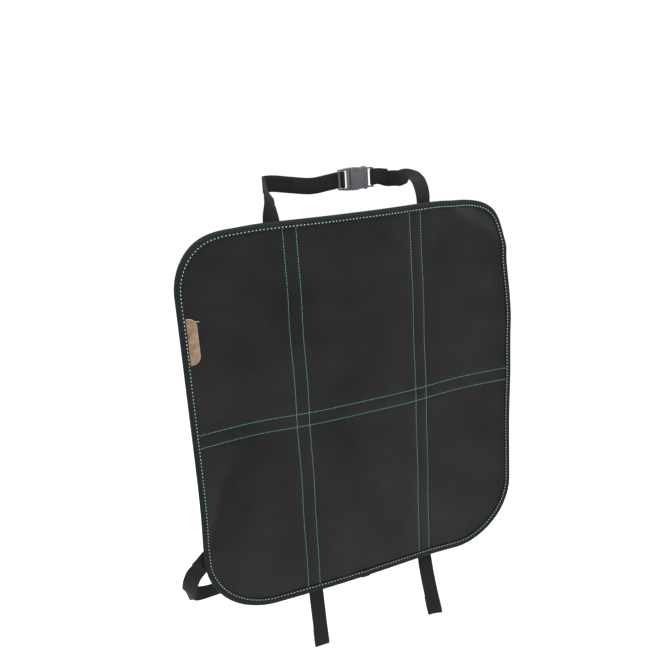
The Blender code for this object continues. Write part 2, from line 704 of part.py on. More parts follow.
def build_plug(name, frame):
    """Build the plug: a ladder frame for the webbing, a guide tongue and two springy arms."""
    taper = OUTER_BAR / 2
    ladder = both_sides([
        (PLUG_START, TAIL_HALF - taper),
        (PLUG_START + taper, TAIL_HALF),
        (INNER_SLOT_END, MOUTH_HALF),
        (BASE_FACE, MOUTH_HALF),
    ])
    plug = add_piece(name, prism(ladder, FRAME_HALF_DEPTH), BUCKLE_PLASTIC, frame, smooth=math.radians(40))
    round_edges(plug)
    root = BASE_FACE - PLUG_BASE / 2
    arm_root = CAVITY_HALF - PRONG_PLAY
    arm_neck = arm_root - PRONG_PLAY
    shoulder = WINDOW_START + FIT_GAP
    tip = WINDOW_END
    tongue = ARM_WIDTH
    half = [
        (root, arm_root),
        (shoulder, arm_neck),
        (shoulder, MOUTH_HALF - 3 * FIT_GAP),
        (shoulder + 0.3 * WINDOW_LENGTH, MOUTH_HALF - FIT_GAP),
        (shoulder + 0.6 * WINDOW_LENGTH, MOUTH_HALF - 3 * FIT_GAP),
        (tip - 0.1 * WINDOW_LENGTH, arm_root),
        (tip, arm_neck - ARM_WIDTH / 2),
        (tip - 0.1 * WINDOW_LENGTH, arm_neck - ARM_WIDTH),
        (BASE_FACE, arm_neck - ARM_WIDTH),
        (BASE_FACE, tongue),
        (tip - 0.3 * WINDOW_LENGTH, tongue),
        (tip - 0.15 * WINDOW_LENGTH, tongue / 2),
    ]
    prongs = add_cutter(name + "_prongs", prism(both_sides(half), PRONG_HALF_DEPTH), frame)
    round_edges(prongs, PRONG_ROUND, 1)
    combine(plug, prongs, "UNION")
    past = 2 * FRAME_HALF_DEPTH
    slots = (
        ("inner_slot", (CENTRE_BAR_END, -past, -SLOT_HALF), (INNER_SLOT_END, past, SLOT_HALF)),
        ("outer_slot", (OUTER_BAR_END, -past, -SLOT_HALF), (CENTRE_BAR_START, past, SLOT_HALF)),
        ("below_outer_bar", (PLUG_START - past, -HALF_STRAP - FIT_GAP, -SLOT_HALF),
         (OUTER_BAR_END + FIT_GAP, past, SLOT_HALF)),
        ("below_centre_bar", (CENTRE_BAR_START - FIT_GAP, STRAP_LAYER - STRAP_BEND, -SLOT_HALF),
         (CENTRE_BAR_END + FIT_GAP, past, SLOT_HALF)),
        ("above_centre_bar", (CENTRE_BAR_START - FIT_GAP, -past, -SLOT_HALF),
         (CENTRE_BAR_END + FIT_GAP, BAR_TOP, SLOT_HALF)),
    )
    for label, low, high in slots:
        combine(plug, box_cutter(name + "_" + label, frame, low, high), "DIFFERENCE")
    return plug


def panel_outline(end):
    """Return the round-cornered outline of the shallow panel sunk in each face of the socket."""
    half_height = MOUTH_HALF - GRIP_BITE - PANEL_INSET
    corner_z = half_height - PANEL_CORNER
    first = arc((PANEL_INSET + PANEL_CORNER, corner_z), PANEL_CORNER, 180, 90)
    last = arc((end - PANEL_INSET - PANEL_CORNER, corner_z), PANEL_CORNER, 90, 0)
    return both_sides([*first, *last])


def build_socket(name, frame):
    """Build the socket: a hollow housing with grips and side windows, and a tail bar for the webbing."""
    waist = CAVITY_END + CAVITY_END_ROOM
    corner = RAIL_WIDTH
    half = [
        (0.0, MOUTH_HALF - corner / 2),
        (corner / 2, MOUTH_HALF),
        (WINDOW_END, MOUTH_HALF),
        (waist, TAIL_HALF),
        (SOCKET_END - corner, TAIL_HALF),
        (SOCKET_END, TAIL_HALF - corner),
    ]
    socket = add_piece(name, prism(both_sides(half), HOUSING_HALF_DEPTH), BUCKLE_PLASTIC, frame,
                       smooth=math.radians(40))
    past = 2 * HOUSING_HALF_DEPTH
    shoulder = CAVITY_END - CAVITY_END_ROOM
    drop = HOUSING_HALF_DEPTH - FRAME_HALF_DEPTH
    for sign, label in ((-1, "front"), (1, "back")):
        wedge = bmesh.new()
        outline = [
            (shoulder, HOUSING_HALF_DEPTH),
            (waist + drop, FRAME_HALF_DEPTH),
            (SOCKET_END + past, FRAME_HALF_DEPTH),
            (SOCKET_END + past, past),
            (shoulder, past),
        ]
        wedge.faces.new([wedge.verts.new((x, sign * y, -2 * MOUTH_HALF)) for x, y in outline])
        swept = bmesh.ops.extrude_face_region(wedge, geom=wedge.faces[:])["geom"]
        verts = [item for item in swept if isinstance(item, bmesh.types.BMVert)]
        bmesh.ops.translate(wedge, verts=verts, vec=(0.0, 0.0, 4 * MOUTH_HALF))
        combine(socket, add_cutter(name + "_" + label + "_taper", wedge, frame), "DIFFERENCE")
        grip = bmesh.new()
        bmesh.ops.create_cone(grip, cap_ends=True, segments=GRIP_SEGMENTS, radius1=GRIP_RADIUS,
                              radius2=GRIP_RADIUS, depth=2 * past)
        bmesh.ops.rotate(grip, verts=grip.verts[:], matrix=Matrix.Rotation(0.5 * math.pi, 3, "X"))
        away = sign * (MOUTH_HALF + GRIP_RADIUS - GRIP_BITE)
        middle = (WINDOW_START + WINDOW_END) / 2
        bmesh.ops.translate(grip, verts=grip.verts[:], vec=(middle, 0.0, away))
        combine(socket, add_cutter(name + "_" + label + "_grip", grip, frame), "DIFFERENCE")
    round_edges(socket)
    for sign, label in ((-1, "front"), (1, "back")):
        panel = prism(panel_outline(shoulder), PANEL_DEPTH)
        bmesh.ops.translate(panel, verts=panel.verts[:], vec=(0.0, sign * HOUSING_HALF_DEPTH, 0.0))
        combine(socket, add_cutter(name + "_" + label + "_panel", panel, frame), "DIFFERENCE")
    loop_room = TAIL_BAR_RADIUS + FIT_GAP + STRAP_THICKNESS + FIT_GAP
    cuts = (
        ("cavity", (-past, -CAVITY_HALF_DEPTH, -CAVITY_HALF), (CAVITY_END, CAVITY_HALF_DEPTH, CAVITY_HALF)),
        ("windows", (WINDOW_START, -CAVITY_HALF_DEPTH, -3 * past),
         (WINDOW_END, CAVITY_HALF_DEPTH, 3 * past)),
        ("tail_slot", (TAIL_BAR_CENTRE - loop_room - TAIL_SLOT_ROOM, -past, -SLOT_HALF),
         (SOCKET_END + past, past, SLOT_HALF)),
    )
    for label, low, high in cuts:
        combine(socket, box_cutter(name + "_" + label, frame, low, high), "DIFFERENCE")
    rod = bmesh.new()
    bmesh.ops.create_cone(rod, cap_ends=True, segments=12, radius1=TAIL_BAR_RADIUS,
                          radius2=TAIL_BAR_RADIUS, depth=2 * SLOT_HALF + RAIL_WIDTH)
    bmesh.ops.translate(rod, verts=rod.verts[:], vec=(TAIL_BAR_CENTRE, 0.0, 0.0))
    combine(socket, add_cutter(name + "_tail_bar", rod, frame), "UNION")
    return socket


def buckle_frame(name, location, flipped):
    """Return an empty at a buckle's mouth, with the buckle's back on +Y or, if flipped, on -Y."""
    empty = bpy.data.objects.new(name, None)
    empty.parent = MAT_CENTRE
    empty.location = location
    if flipped:
        empty.rotation_euler = (math.pi, 0.0, 0.0)
    PARTS.objects.link(empty)
    return empty


def local_matrix(empty):
    """Return an empty's place in its parent's frame."""
    return Matrix.LocRotScale(empty.location, empty.rotation_euler, None)


def build_protector():
    """Build every piece of the protector."""
    build_sheet("front_cover", 0.0, COVER_THICKNESS, FAUX_LEATHER)
    build_sheet("foam_padding", FOAM_FRONT, FOAM_THICKNESS, FOAM)
    build_sheet("back_lining", LINING_FRONT, LINING_THICKNESS, LINING)
    build_swept_ring("edge_binding", binding_profile(), BINDING_TAPE)
    build_edge_thread()
    build_quilting_thread()
    build_tab()

    loop_depth = TURN_DEPTH + TURN_RADIUS + TURN_PLAY
    top_buckle = buckle_frame("top_buckle", (BUCKLE_OFFSET, loop_depth, LOOP_HEIGHT), False)
    build_plug("top_buckle_plug", top_buckle)
    build_socket("top_buckle_socket", top_buckle)
    for side in (LEFT, RIGHT):
        build_top_strap(side, local_matrix(top_buckle))

    middle = -(PLUG_START + SOCKET_END) / 2
    lower_buckle = buckle_frame("lower_buckle", (middle, BELT_DEPTH, BELT_HEIGHT), True)
    build_plug("lower_buckle_plug", lower_buckle)
    build_socket("lower_buckle_socket", lower_buckle)
    for side in (LEFT, RIGHT):
        build_side_strap(side, local_matrix(lower_buckle))

    build_bottom_strap(LEFT, LEFT_LEAN)
    build_bottom_strap(RIGHT, RIGHT_LEAN)


build_protector()
bpy.context.view_layer.update()
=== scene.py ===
"""Looks of the car seat protector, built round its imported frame.

The mat, its binding, seams, tab and webbing are modelled again with their real softness, and the two
buckles keep the frame's solids under a moulded finish.

Units are metres in the frame's own axes: X across the mat, +Y from its face to its back, +Z up. The mat
is drawn flat first, as (u, v) with a depth from the cover's face, and MatShape.worn() then bends it.
"""
import logging
import math
from dataclasses import dataclass, field
from enum import Enum

import bmesh
import bpy
import numpy as np
from mathutils import Matrix, Quaternion, Vector


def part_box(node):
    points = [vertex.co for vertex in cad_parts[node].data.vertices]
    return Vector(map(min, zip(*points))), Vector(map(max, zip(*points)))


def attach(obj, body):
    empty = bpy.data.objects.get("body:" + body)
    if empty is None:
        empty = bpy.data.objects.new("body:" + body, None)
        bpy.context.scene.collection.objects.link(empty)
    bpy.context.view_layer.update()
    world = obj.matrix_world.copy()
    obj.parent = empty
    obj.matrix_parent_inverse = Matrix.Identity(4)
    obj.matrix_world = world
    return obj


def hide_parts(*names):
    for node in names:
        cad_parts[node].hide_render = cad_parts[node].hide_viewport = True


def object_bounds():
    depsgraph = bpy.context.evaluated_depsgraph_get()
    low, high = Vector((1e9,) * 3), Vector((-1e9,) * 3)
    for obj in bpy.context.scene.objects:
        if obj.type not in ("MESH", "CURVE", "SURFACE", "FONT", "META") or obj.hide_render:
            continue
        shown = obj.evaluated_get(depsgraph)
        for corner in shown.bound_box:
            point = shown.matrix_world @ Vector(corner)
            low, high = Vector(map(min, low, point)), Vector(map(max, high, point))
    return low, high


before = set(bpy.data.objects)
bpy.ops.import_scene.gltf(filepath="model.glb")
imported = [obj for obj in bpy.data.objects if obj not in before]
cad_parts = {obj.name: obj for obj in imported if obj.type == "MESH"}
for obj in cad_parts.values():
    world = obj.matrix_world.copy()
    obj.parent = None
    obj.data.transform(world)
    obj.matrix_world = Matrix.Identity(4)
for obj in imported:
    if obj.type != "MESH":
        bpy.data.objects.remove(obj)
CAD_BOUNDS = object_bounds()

log = logging.getLogger("protector")

Point = tuple[float, float]
Place = tuple[float, float, float]
Socket = bpy.types.NodeSocket

BODY = "root"
MM = 0.001


class Side(Enum):
    """A side of the mat, as its sign along X."""

    LEFT = -1
    RIGHT = 1


class Face(Enum):
    """A face of the mat: its front is the cover, its back the lining."""

    FRONT = -1
    BACK = 1


# Colour and node helpers


def linear(hex_colour: str) -> tuple[float, float, float, float]:
    """Return an sRGB hex colour as linear RGBA.

    Args:
        hex_colour: Six digits after a hash.

    Returns:
        Linear red, green, blue and an alpha of 1.
    """
    channels = [int(hex_colour[i:i + 2], 16) / 255 for i in (1, 3, 5)]
    red, green, blue = (c / 12.92 if c <= 0.04045 else ((c + 0.055) / 1.055) ** 2.4 for c in channels)
    return red, green, blue, 1.0


def add_node(
    tree: bpy.types.NodeTree,
    kind: str,
    settings: dict[str, object] | None = None,
    values: dict[str | int, object] | None = None,
    links: dict[str | int, Socket] | None = None,
) -> bpy.types.Node:
    """Add a node to a tree.

    Args:
        tree: The tree that takes the node.
        kind: The node's type name.
        settings: The node's own properties.
        values: Default values of its inputs, by name or index.
        links: Sockets that feed its inputs, by name or index.

    Returns:
        The new node.
    """
    node = tree.nodes.new(kind)
    for name, value in (settings or {}).items():
        setattr(node, name, value)
    for key, value in (values or {}).items():
        node.inputs[key].default_value = value
    for key, socket in (links or {}).items():
        tree.links.new(socket, node.inputs[key])
    return node


def new_finish(name: str) -> tuple[bpy.types.Material, bpy.types.NodeTree, bpy.types.Node]:
    """Return a new material, its node tree and its Principled shader."""
    material = bpy.data.materials.new(name)
    material.use_nodes = True
    tree = material.node_tree
    return material, tree, tree.nodes["Principled BSDF"]


def tint(tree: bpy.types.NodeTree, share: Socket, low: str, high: str, span: Point = (0.3, 0.7)) -> Socket:
    """Blend between two colours by a pattern.

    Args:
        tree: The material's tree.
        share: The pattern.
        low: Hex colour where the pattern is low.
        high: Hex colour where it is high.
        span: The pattern values at which each colour is reached.

    Returns:
        The blended colour's socket.
    """
    ramp = add_node(tree, "ShaderNodeValToRGB", links={"Fac": share})
    first, last = ramp.color_ramp.elements
    first.position, last.position = span
    first.color, last.color = linear(low), linear(high)
    return ramp.outputs["Color"]


# Finishes


@dataclass(frozen=True)
class FauxLeather:
    """Calendered PVC faux leather: a soft matt sheen, broken by a fine pebble grain."""

    dark: str = "#0B0B0C"
    light: str = "#181819"
    grain: float = 1.3 * MM
    grain_height: float = 0.09 * MM
    mottle: float = 65 * MM

    def build(self) -> bpy.types.Material:
        """Return the material.

        The real grain is about 0.8 mm wide. It is drawn coarser, so that it shows close up.
        """
        material, tree, shader = new_finish("pvc_faux_leather")
        place = add_node(tree, "ShaderNodeTexCoord").outputs["Object"]
        mottle = add_node(tree, "ShaderNodeTexNoise", values={"Scale": 1 / self.mottle, "Detail": 3.0},
                          links={"Vector": place}).outputs["Fac"]
        pebble = add_node(tree, "ShaderNodeTexVoronoi", {"feature": "SMOOTH_F1"},
                          {"Scale": 1 / self.grain, "Smoothness": 0.6}, {"Vector": place}).outputs["Distance"]
        fine = add_node(tree, "ShaderNodeTexNoise", values={"Scale": 2.5 / self.grain, "Detail": 2.0},
                        links={"Vector": place}).outputs["Fac"]
        grain = add_node(tree, "ShaderNodeMath", {"operation": "MULTIPLY_ADD"}, {1: 0.35},
                         {0: fine, 2: pebble}).outputs[0]
        tree.links.new(tint(tree, mottle, self.dark, self.light), shader.inputs["Base Color"])
        rough = add_node(tree, "ShaderNodeMapRange", values={"To Min": 0.38, "To Max": 0.50},
                         links={"Value": mottle}).outputs["Result"]
        tree.links.new(rough, shader.inputs["Roughness"])
        bump = add_node(tree, "ShaderNodeBump", values={"Strength": 0.5, "Distance": self.grain_height},
                        links={"Height": grain}).outputs["Normal"]
        tree.links.new(bump, shader.inputs["Normal"])
        shader.inputs["Specular IOR Level"].default_value = 0.15
        return material


@dataclass(frozen=True)
class Weave:
    """A woven finish: over-and-under threads, with painted shade between them and a painted highlight on
    their tops.

    Attributes:
        name: The material's name.
        dark: Hex colour between the threads, a painted shade.
        light: Hex colour on top of them, a painted highlight.
        pitch_along: Distance between threads along the piece.
        pitch_across: Distance between threads across it.
        height: How far a thread stands up.
        roughness: The threads' roughness.
        sheen: Soft glow of loose fibres at grazing angles.
        specular: Strength of the threads' gloss.
    """

    name: str
    dark: str
    light: str
    pitch_along: float
    pitch_across: float
    height: float
    roughness: float = 0.8
    sheen: float = 0.03
    specular: float = 0.11

    def build(self) -> bpy.types.Material:
        """Return the material, with its weave laid along the piece's UV map in metres."""
        material, tree, shader = new_finish(self.name)
        flat = add_node(tree, "ShaderNodeUVMap", {"uv_map": "flat"}).outputs["UV"]
        split = add_node(tree, "ShaderNodeSeparateXYZ", links={"Vector": flat})
        waves = []
        for axis, pitch in (("X", self.pitch_along), ("Y", self.pitch_across)):
            turn = add_node(tree, "ShaderNodeMath", {"operation": "MULTIPLY"}, {1: math.pi / pitch},
                            {0: split.outputs[axis]}).outputs[0]
            waves.append(add_node(tree, "ShaderNodeMath", {"operation": "SINE"}, links={0: turn}).outputs[0])
        product = add_node(tree, "ShaderNodeMath", {"operation": "MULTIPLY"},
                           links={0: waves[0], 1: waves[1]})
        weave = add_node(tree, "ShaderNodeMapRange", values={"From Min": -1.0, "From Max": 1.0},
                         links={"Value": product.outputs[0]}).outputs["Result"]
        place = add_node(tree, "ShaderNodeTexCoord").outputs["Object"]
        fuzz = add_node(tree, "ShaderNodeTexNoise", values={"Scale": 1 / (0.9 * MM), "Detail": 2.0},
                        links={"Vector": place}).outputs["Fac"]
        height = add_node(tree, "ShaderNodeMath", {"operation": "MULTIPLY_ADD"}, {1: 0.35},
                          {0: fuzz, 2: weave}).outputs[0]
        # The colour follows the threads' height, as the bump does: painted shade between the threads and a
        # painted highlight on their tops.
        tree.links.new(tint(tree, height, self.dark, self.light, (0.25, 1.15)), shader.inputs["Base Color"])
        bump = add_node(tree, "ShaderNodeBump", values={"Strength": 0.8, "Distance": self.height},
                        links={"Height": height}).outputs["Normal"]
        tree.links.new(bump, shader.inputs["Normal"])
        shader.inputs["Roughness"].default_value = self.roughness
        shader.inputs["Sheen Weight"].default_value = self.sheen
        shader.inputs["Specular IOR Level"].default_value = self.specular
        return material


@dataclass(frozen=True)
class Thread:
    """Twisted polyester thread: slanted plies along each stitch, with a painted glint on each ply and painted
    shade between them.
    """

    name: str
    dark: str
    light: str
    ply: float = 0.7 * MM

    def build(self) -> bpy.types.Material:
        """Return the material, its plies laid along the stitch attributes "along" and "around"."""
        material, tree, shader = new_finish(self.name)
        along = add_node(tree, "ShaderNodeAttribute", {"attribute_name": "along"}).outputs["Fac"]
        around = add_node(tree, "ShaderNodeAttribute", {"attribute_name": "around"}).outputs["Fac"]
        turn = add_node(tree, "ShaderNodeMath", {"operation": "MULTIPLY"}, {1: 2 * math.pi / self.ply},
                        {0: along}).outputs[0]
        slant = add_node(tree, "ShaderNodeMath", {"operation": "MULTIPLY_ADD"}, {1: 4 * math.pi},
                         {0: around, 2: turn}).outputs[0]
        wave = add_node(tree, "ShaderNodeMath", {"operation": "SINE"}, links={0: slant}).outputs[0]
        plies = add_node(tree, "ShaderNodeMapRange", values={"From Min": -1.0}, links={"Value": wave})
        # The colour follows the plies' height, as the bump does: a painted glint on each ply and painted
        # shade between them.
        tree.links.new(tint(tree, plies.outputs["Result"], self.dark, self.light, (0.0, 1.0)),
                       shader.inputs["Base Color"])
        bump = add_node(tree, "ShaderNodeBump", values={"Strength": 0.6, "Distance": 0.1 * MM},
                        links={"Height": plies.outputs["Result"]}).outputs["Normal"]
        tree.links.new(bump, shader.inputs["Normal"])
        shader.inputs["Roughness"].default_value = 0.5
        shader.inputs["Sheen Weight"].default_value = 0.2
        return material


@dataclass(frozen=True)
class TanLeather:
    """Vegetable-tanned leather offcut: a mottled, porous grain and a paler rim, a painted highlight on its
    rounded edge.
    """

    dark: str = "#664A35"
    light: str = "#866D56"
    # Painted highlight on the tab's rounded edge.
    edge: str = "#A88E74"
    mottle: float = 7.0 * MM
    pores: float = 0.8 * MM

    def build(self) -> bpy.types.Material:
        """Return the material, its painted edge highlight taken from the tab's "rim" attribute."""
        material, tree, shader = new_finish("tanned_leather")
        place = add_node(tree, "ShaderNodeTexCoord").outputs["Object"]
        mottle = add_node(tree, "ShaderNodeTexNoise", values={"Scale": 1 / self.mottle, "Detail": 4.0},
                          links={"Vector": place}).outputs["Fac"]
        pores = add_node(tree, "ShaderNodeTexVoronoi", values={"Scale": 1 / self.pores},
                         links={"Vector": place}).outputs["Distance"]
        skin = tint(tree, mottle, self.dark, self.light, (0.32, 0.68))
        rim = add_node(tree, "ShaderNodeAttribute", {"attribute_name": "rim"}).outputs["Fac"]
        # Painted highlight: the rim is mixed paler than the leather.
        mix = add_node(tree, "ShaderNodeMix", {"data_type": "RGBA"}, {7: linear(self.edge)},
                       {0: rim, 6: skin})
        tree.links.new(mix.outputs[2], shader.inputs["Base Color"])
        relief = add_node(tree, "ShaderNodeMath", {"operation": "MULTIPLY_ADD"}, {1: 0.6},
                          {0: mottle, 2: pores}).outputs[0]
        bump = add_node(tree, "ShaderNodeBump", values={"Strength": 0.6, "Distance": 0.15 * MM},
                        links={"Height": relief}).outputs["Normal"]
        tree.links.new(bump, shader.inputs["Normal"])
        rough = add_node(tree, "ShaderNodeMapRange", values={"To Min": 0.48, "To Max": 0.68},
                         links={"Value": pores}).outputs["Result"]
        tree.links.new(rough, shader.inputs["Roughness"])
        return material


@dataclass(frozen=True)
class MouldedAcetal:
    """Injection-moulded black acetal: dark grey as a painted reflection, with a soft gloss over a fine
    spark-eroded texture.
    """

    # Both greys are lighter than black acetal: a painted reflection.
    dark: str = "#3E4043"
    light: str = "#4C4F53"
    texture: float = 0.5 * MM

    def build(self) -> bpy.types.Material:
        """Return the material."""
        material, tree, shader = new_finish("moulded_acetal")
        place = add_node(tree, "ShaderNodeTexCoord").outputs["Object"]
        grain = add_node(tree, "ShaderNodeTexNoise", values={"Scale": 1 / self.texture, "Detail": 2.0},
                         links={"Vector": place}).outputs["Fac"]
        flow = add_node(tree, "ShaderNodeTexNoise", values={"Scale": 1 / (12 * MM), "Detail": 2.0},
                        links={"Vector": place}).outputs["Fac"]
        tree.links.new(tint(tree, flow, self.dark, self.light), shader.inputs["Base Color"])
        rough = add_node(tree, "ShaderNodeMapRange", values={"To Min": 0.28, "To Max": 0.42},
                         links={"Value": flow}).outputs["Result"]
        tree.links.new(rough, shader.inputs["Roughness"])
        bump = add_node(tree, "ShaderNodeBump", values={"Strength": 0.25, "Distance": 0.05 * MM},
                        links={"Height": grain}).outputs["Normal"]
        tree.links.new(bump, shader.inputs["Normal"])
        shader.inputs["IOR"].default_value = 1.48
        return material


@dataclass(frozen=True)
class OpenFoam:
    """Open-cell polyurethane foam: a dull grey full of tiny pits, with painted shade in each pit."""

    dark: str = "#3A3A3B"
    light: str = "#5A5A5C"
    cell: float = 0.8 * MM

    def build(self) -> bpy.types.Material:
        """Return the material."""
        material, tree, shader = new_finish("polyurethane_foam")
        place = add_node(tree, "ShaderNodeTexCoord").outputs["Object"]
        cells = add_node(tree, "ShaderNodeTexVoronoi", values={"Scale": 1 / self.cell},
                         links={"Vector": place}).outputs["Distance"]
        # The colour follows the cells' depth, as the bump does: painted shade in the pits.
        tree.links.new(tint(tree, cells, self.dark, self.light, (0.0, 0.7)), shader.inputs["Base Color"])
        bump = add_node(tree, "ShaderNodeBump", values={"Strength": 0.9, "Distance": 0.3 * MM},
                        links={"Height": cells}).outputs["Normal"]
        tree.links.new(bump, shader.inputs["Normal"])
        shader.inputs["Roughness"].default_value = 0.95
        return material


@dataclass(frozen=True)
class StudioPaper:
    """Matt white background paper."""

    colour: str = "#FAFAF9"
    tooth: float = 1.5 * MM

    def build(self) -> bpy.types.Material:
        """Return the material."""
        material, tree, shader = new_finish("background_paper")
        place = add_node(tree, "ShaderNodeTexCoord").outputs["Object"]
        tooth = add_node(tree, "ShaderNodeTexNoise", values={"Scale": 1 / self.tooth},
                         links={"Vector": place}).outputs["Fac"]
        bump = add_node(tree, "ShaderNodeBump", values={"Strength": 0.1, "Distance": 0.1 * MM},
                        links={"Height": tooth}).outputs["Normal"]
        tree.links.new(bump, shader.inputs["Normal"])
        shader.inputs["Base Color"].default_value = linear(self.colour)
        shader.inputs["Roughness"].default_value = 0.9
        return material


# The mat's shape


@dataclass(frozen=True)
class Fold:
    """A soft fold that the whole mat takes, along a line in the flat mat.

    Attributes:
        start: One end of its line, as (u, v).
        end: The other end.
        spread: How far it reaches to each side.
        height: How far it stands out from the face, or sinks in if negative.
    """

    start: Point
    end: Point
    spread: float
    height: float

    def relief(self, u: np.ndarray, v: np.ndarray) -> np.ndarray:
        """Return the fold's height at flat points."""
        line = np.subtract(self.end, self.start)
        length = math.hypot(*line)
        along = ((u - self.start[0]) * line[0] + (v - self.start[1]) * line[1]) / length
        off = ((u - self.start[0]) * line[1] - (v - self.start[1]) * line[0]) / length
        past = np.maximum(np.abs(along - length / 2) - length / 2, 0.0)
        return self.height * np.exp(-(off**2 + past**2) / self.spread**2)


@dataclass(frozen=True)
class Drift:
    """A pull of the mat's edge within its own face, which fades away from a flat point.

    Attributes:
        centre: The flat point where it is strongest, as (u, v).
        spread: How far it reaches.
        shift: How far it moves the mat there, as (across, up).
    """

    centre: Point
    spread: float
    shift: Point

    def pull(self, u: np.ndarray, v: np.ndarray) -> tuple[np.ndarray, np.ndarray]:
        """Return how far flat points move across and up."""
        share = np.exp(-((u - self.centre[0]) ** 2 + (v - self.centre[1]) ** 2) / self.spread**2)
        return share * self.shift[0], share * self.shift[1]


@dataclass(frozen=True)
class MatShape:
    """The mat's sizes laid flat and the shape that it takes in wear.

    Attributes:
        centre: The mat's centre in the frame.
        width: Across the flat mat.
        height: Up the flat mat.
        top_corner: Radius of the upper corners.
        bottom_corner: Radius of the lower corners.
        cover: Thickness of the faux leather.
        foam: Thickness of the padding.
        lining: Thickness of the back cloth.
        gap: Room left between layers.
        binding_width: How far the folded tape reaches in on each face.
        binding: Thickness of the tape.
        pair_gap: Distance between the two seams of a pair.
        upright_seam: Distance of each upright pair from the middle.
        cross_seam: Height of the level pair.
        puff: How far the padding swells in mid panel.
        strip_puff: The same between the seams of a pair.
        groove: How deep a seam pulls the cover in.
        groove_spread: How far that dip reaches.
        pucker: Height of the ripples beside a seam.
        pucker_pitch: Distance between those ripples.
        pucker_reach: How far they spread from the seam.
        wander: How far the seams stray sideways.
        slack: Height of the uneven slack between the folds.
        side_bow, edge_return, height_bow, shoulder_wrap, wrap_shortening: The curve across and up the mat.
        folds: Soft folds of the whole mat.
        drifts: Places where the edge is pulled in or out.
    """

    centre: Place = (0.0, -0.0620, -0.2760)
    width: float = 0.450
    height: float = 0.490
    top_corner: float = 0.073
    bottom_corner: float = 0.090
    cover: float = 1.0 * MM
    foam: float = 3.0 * MM
    lining: float = 0.8 * MM
    gap: float = 0.3 * MM
    binding_width: float = 9.0 * MM
    binding: float = 0.9 * MM
    pair_gap: float = 16.2 * MM
    upright_seam: float = 83.1 * MM
    cross_seam: float = -0.5 * MM
    puff: float = 1.3 * MM
    strip_puff: float = 0.6 * MM
    groove: float = 0.35 * MM
    groove_spread: float = 1.3 * MM
    pucker: float = 0.22 * MM
    pucker_pitch: float = 9.0 * MM
    pucker_reach: float = 5.0 * MM
    wander: float = 0.45 * MM
    slack: float = 0.35 * MM
    side_bow: float = 0.0308
    edge_return: float = 0.0269
    height_bow: float = 0.0033
    shoulder_wrap: float = 0.0101
    wrap_shortening: float = 0.0125
    folds: tuple[Fold, ...] = (
        Fold((-0.214, -0.134), (-0.188, -0.056), 0.007, -3.6 * MM),
        Fold((-0.192, -0.074), (-0.176, -0.040), 0.018, -3.0 * MM),
        Fold((-0.190, -0.150), (-0.140, -0.090), 0.020, 1.2 * MM),
        Fold((-0.150, -0.030), (-0.115, 0.110), 0.034, -1.8 * MM),
        Fold((-0.172, 0.045), (-0.168, 0.160), 0.022, 1.2 * MM),
        Fold((0.141, 0.233), (0.220, 0.176), 0.012, 3.1 * MM),
        Fold((0.183, 0.131), (0.217, 0.078), 0.010, 0.9 * MM),
        Fold((-0.030, 0.220), (0.010, 0.150), 0.030, 1.2 * MM),
        Fold((0.030, 0.225), (0.065, 0.190), 0.016, 1.0 * MM),
        Fold((-0.110, 0.225), (-0.150, 0.130), 0.030, 0.9 * MM),
        Fold((0.020, -0.060), (0.050, -0.190), 0.040, 0.8 * MM),
    )
    drifts: tuple[Drift, ...] = (
        Drift((-0.160, 0.245), 0.030, (0.0, -3.0 * MM)),
        Drift((0.160, 0.245), 0.030, (0.0, -3.0 * MM)),
        Drift((0.202, 0.222), 0.026, (2.6 * MM, 2.6 * MM)),
        Drift((0.222, 0.186), 0.020, (-1.6 * MM, 0.0)),
        Drift((0.225, 0.095), 0.050, (5.2 * MM, 0.0)),
        Drift((0.225, 0.010), 0.060, (3.4 * MM, 0.0)),
        Drift((0.155, -0.242), 0.050, (0.0, -3.2 * MM)),
        Drift((-0.090, -0.245), 0.070, (0.0, -1.8 * MM)),
        Drift((-0.222, -0.160), 0.055, (-2.8 * MM, 0.0)),
    )

    @property
    def foam_front(self) -> float:
        """Depth of the padding's front."""
        return self.cover + self.gap

    @property
    def foam_back(self) -> float:
        """Depth of the padding's back."""
        return self.foam_front + self.foam

    @property
    def lining_front(self) -> float:
        """Depth of the lining's inner face."""
        return self.foam_back + self.gap

    @property
    def back(self) -> float:
        """Depth of the mat's back."""
        return self.lining_front + self.lining

    @property
    def edge_bend(self) -> float:
        """Inner radius of the binding's turn."""
        return self.back / 2 + self.gap

    @property
    def sheet_inset(self) -> float:
        """How far the layers stop short of the bound edge."""
        return self.binding + self.edge_bend

    @property
    def flat_area(self) -> float:
        """Area of the mat laid flat."""
        lost = (2 - math.pi / 2) * (self.top_corner**2 + self.bottom_corner**2)
        return self.width * self.height - lost

    def upright_seams(self) -> list[float]:
        """Return where the four upright seams lie across the mat."""
        half = self.pair_gap / 2
        return [side.value * self.upright_seam + p * half for side in Side for p in (-1, 1)]

    def cross_seams(self) -> list[float]:
        """Return where the two level seams lie up the mat."""
        return [self.cross_seam + p * self.pair_gap / 2 for p in (-1, 1)]

    def swell(self, place: np.ndarray, seams: list[float], edge: float) -> np.ndarray:
        """Return 0 to 1: the height of a round hump between each seam and the next.

        Args:
            place: Places across the seams.
            seams: Where the seams lie.
            edge: Where the binding stops on both sides.
        """
        stops = [-edge, *sorted(seams), edge]
        hump = np.zeros_like(place)
        for low, high in zip(stops, stops[1:]):
            share = np.clip((place - low) / (high - low), 0.0, 1.0)
            narrow = high - low < 1.5 * self.pair_gap
            top = self.strip_puff / self.puff if narrow else 1.0
            hump = np.maximum(hump, top * np.sqrt(4 * share * (1 - share)))
        return hump

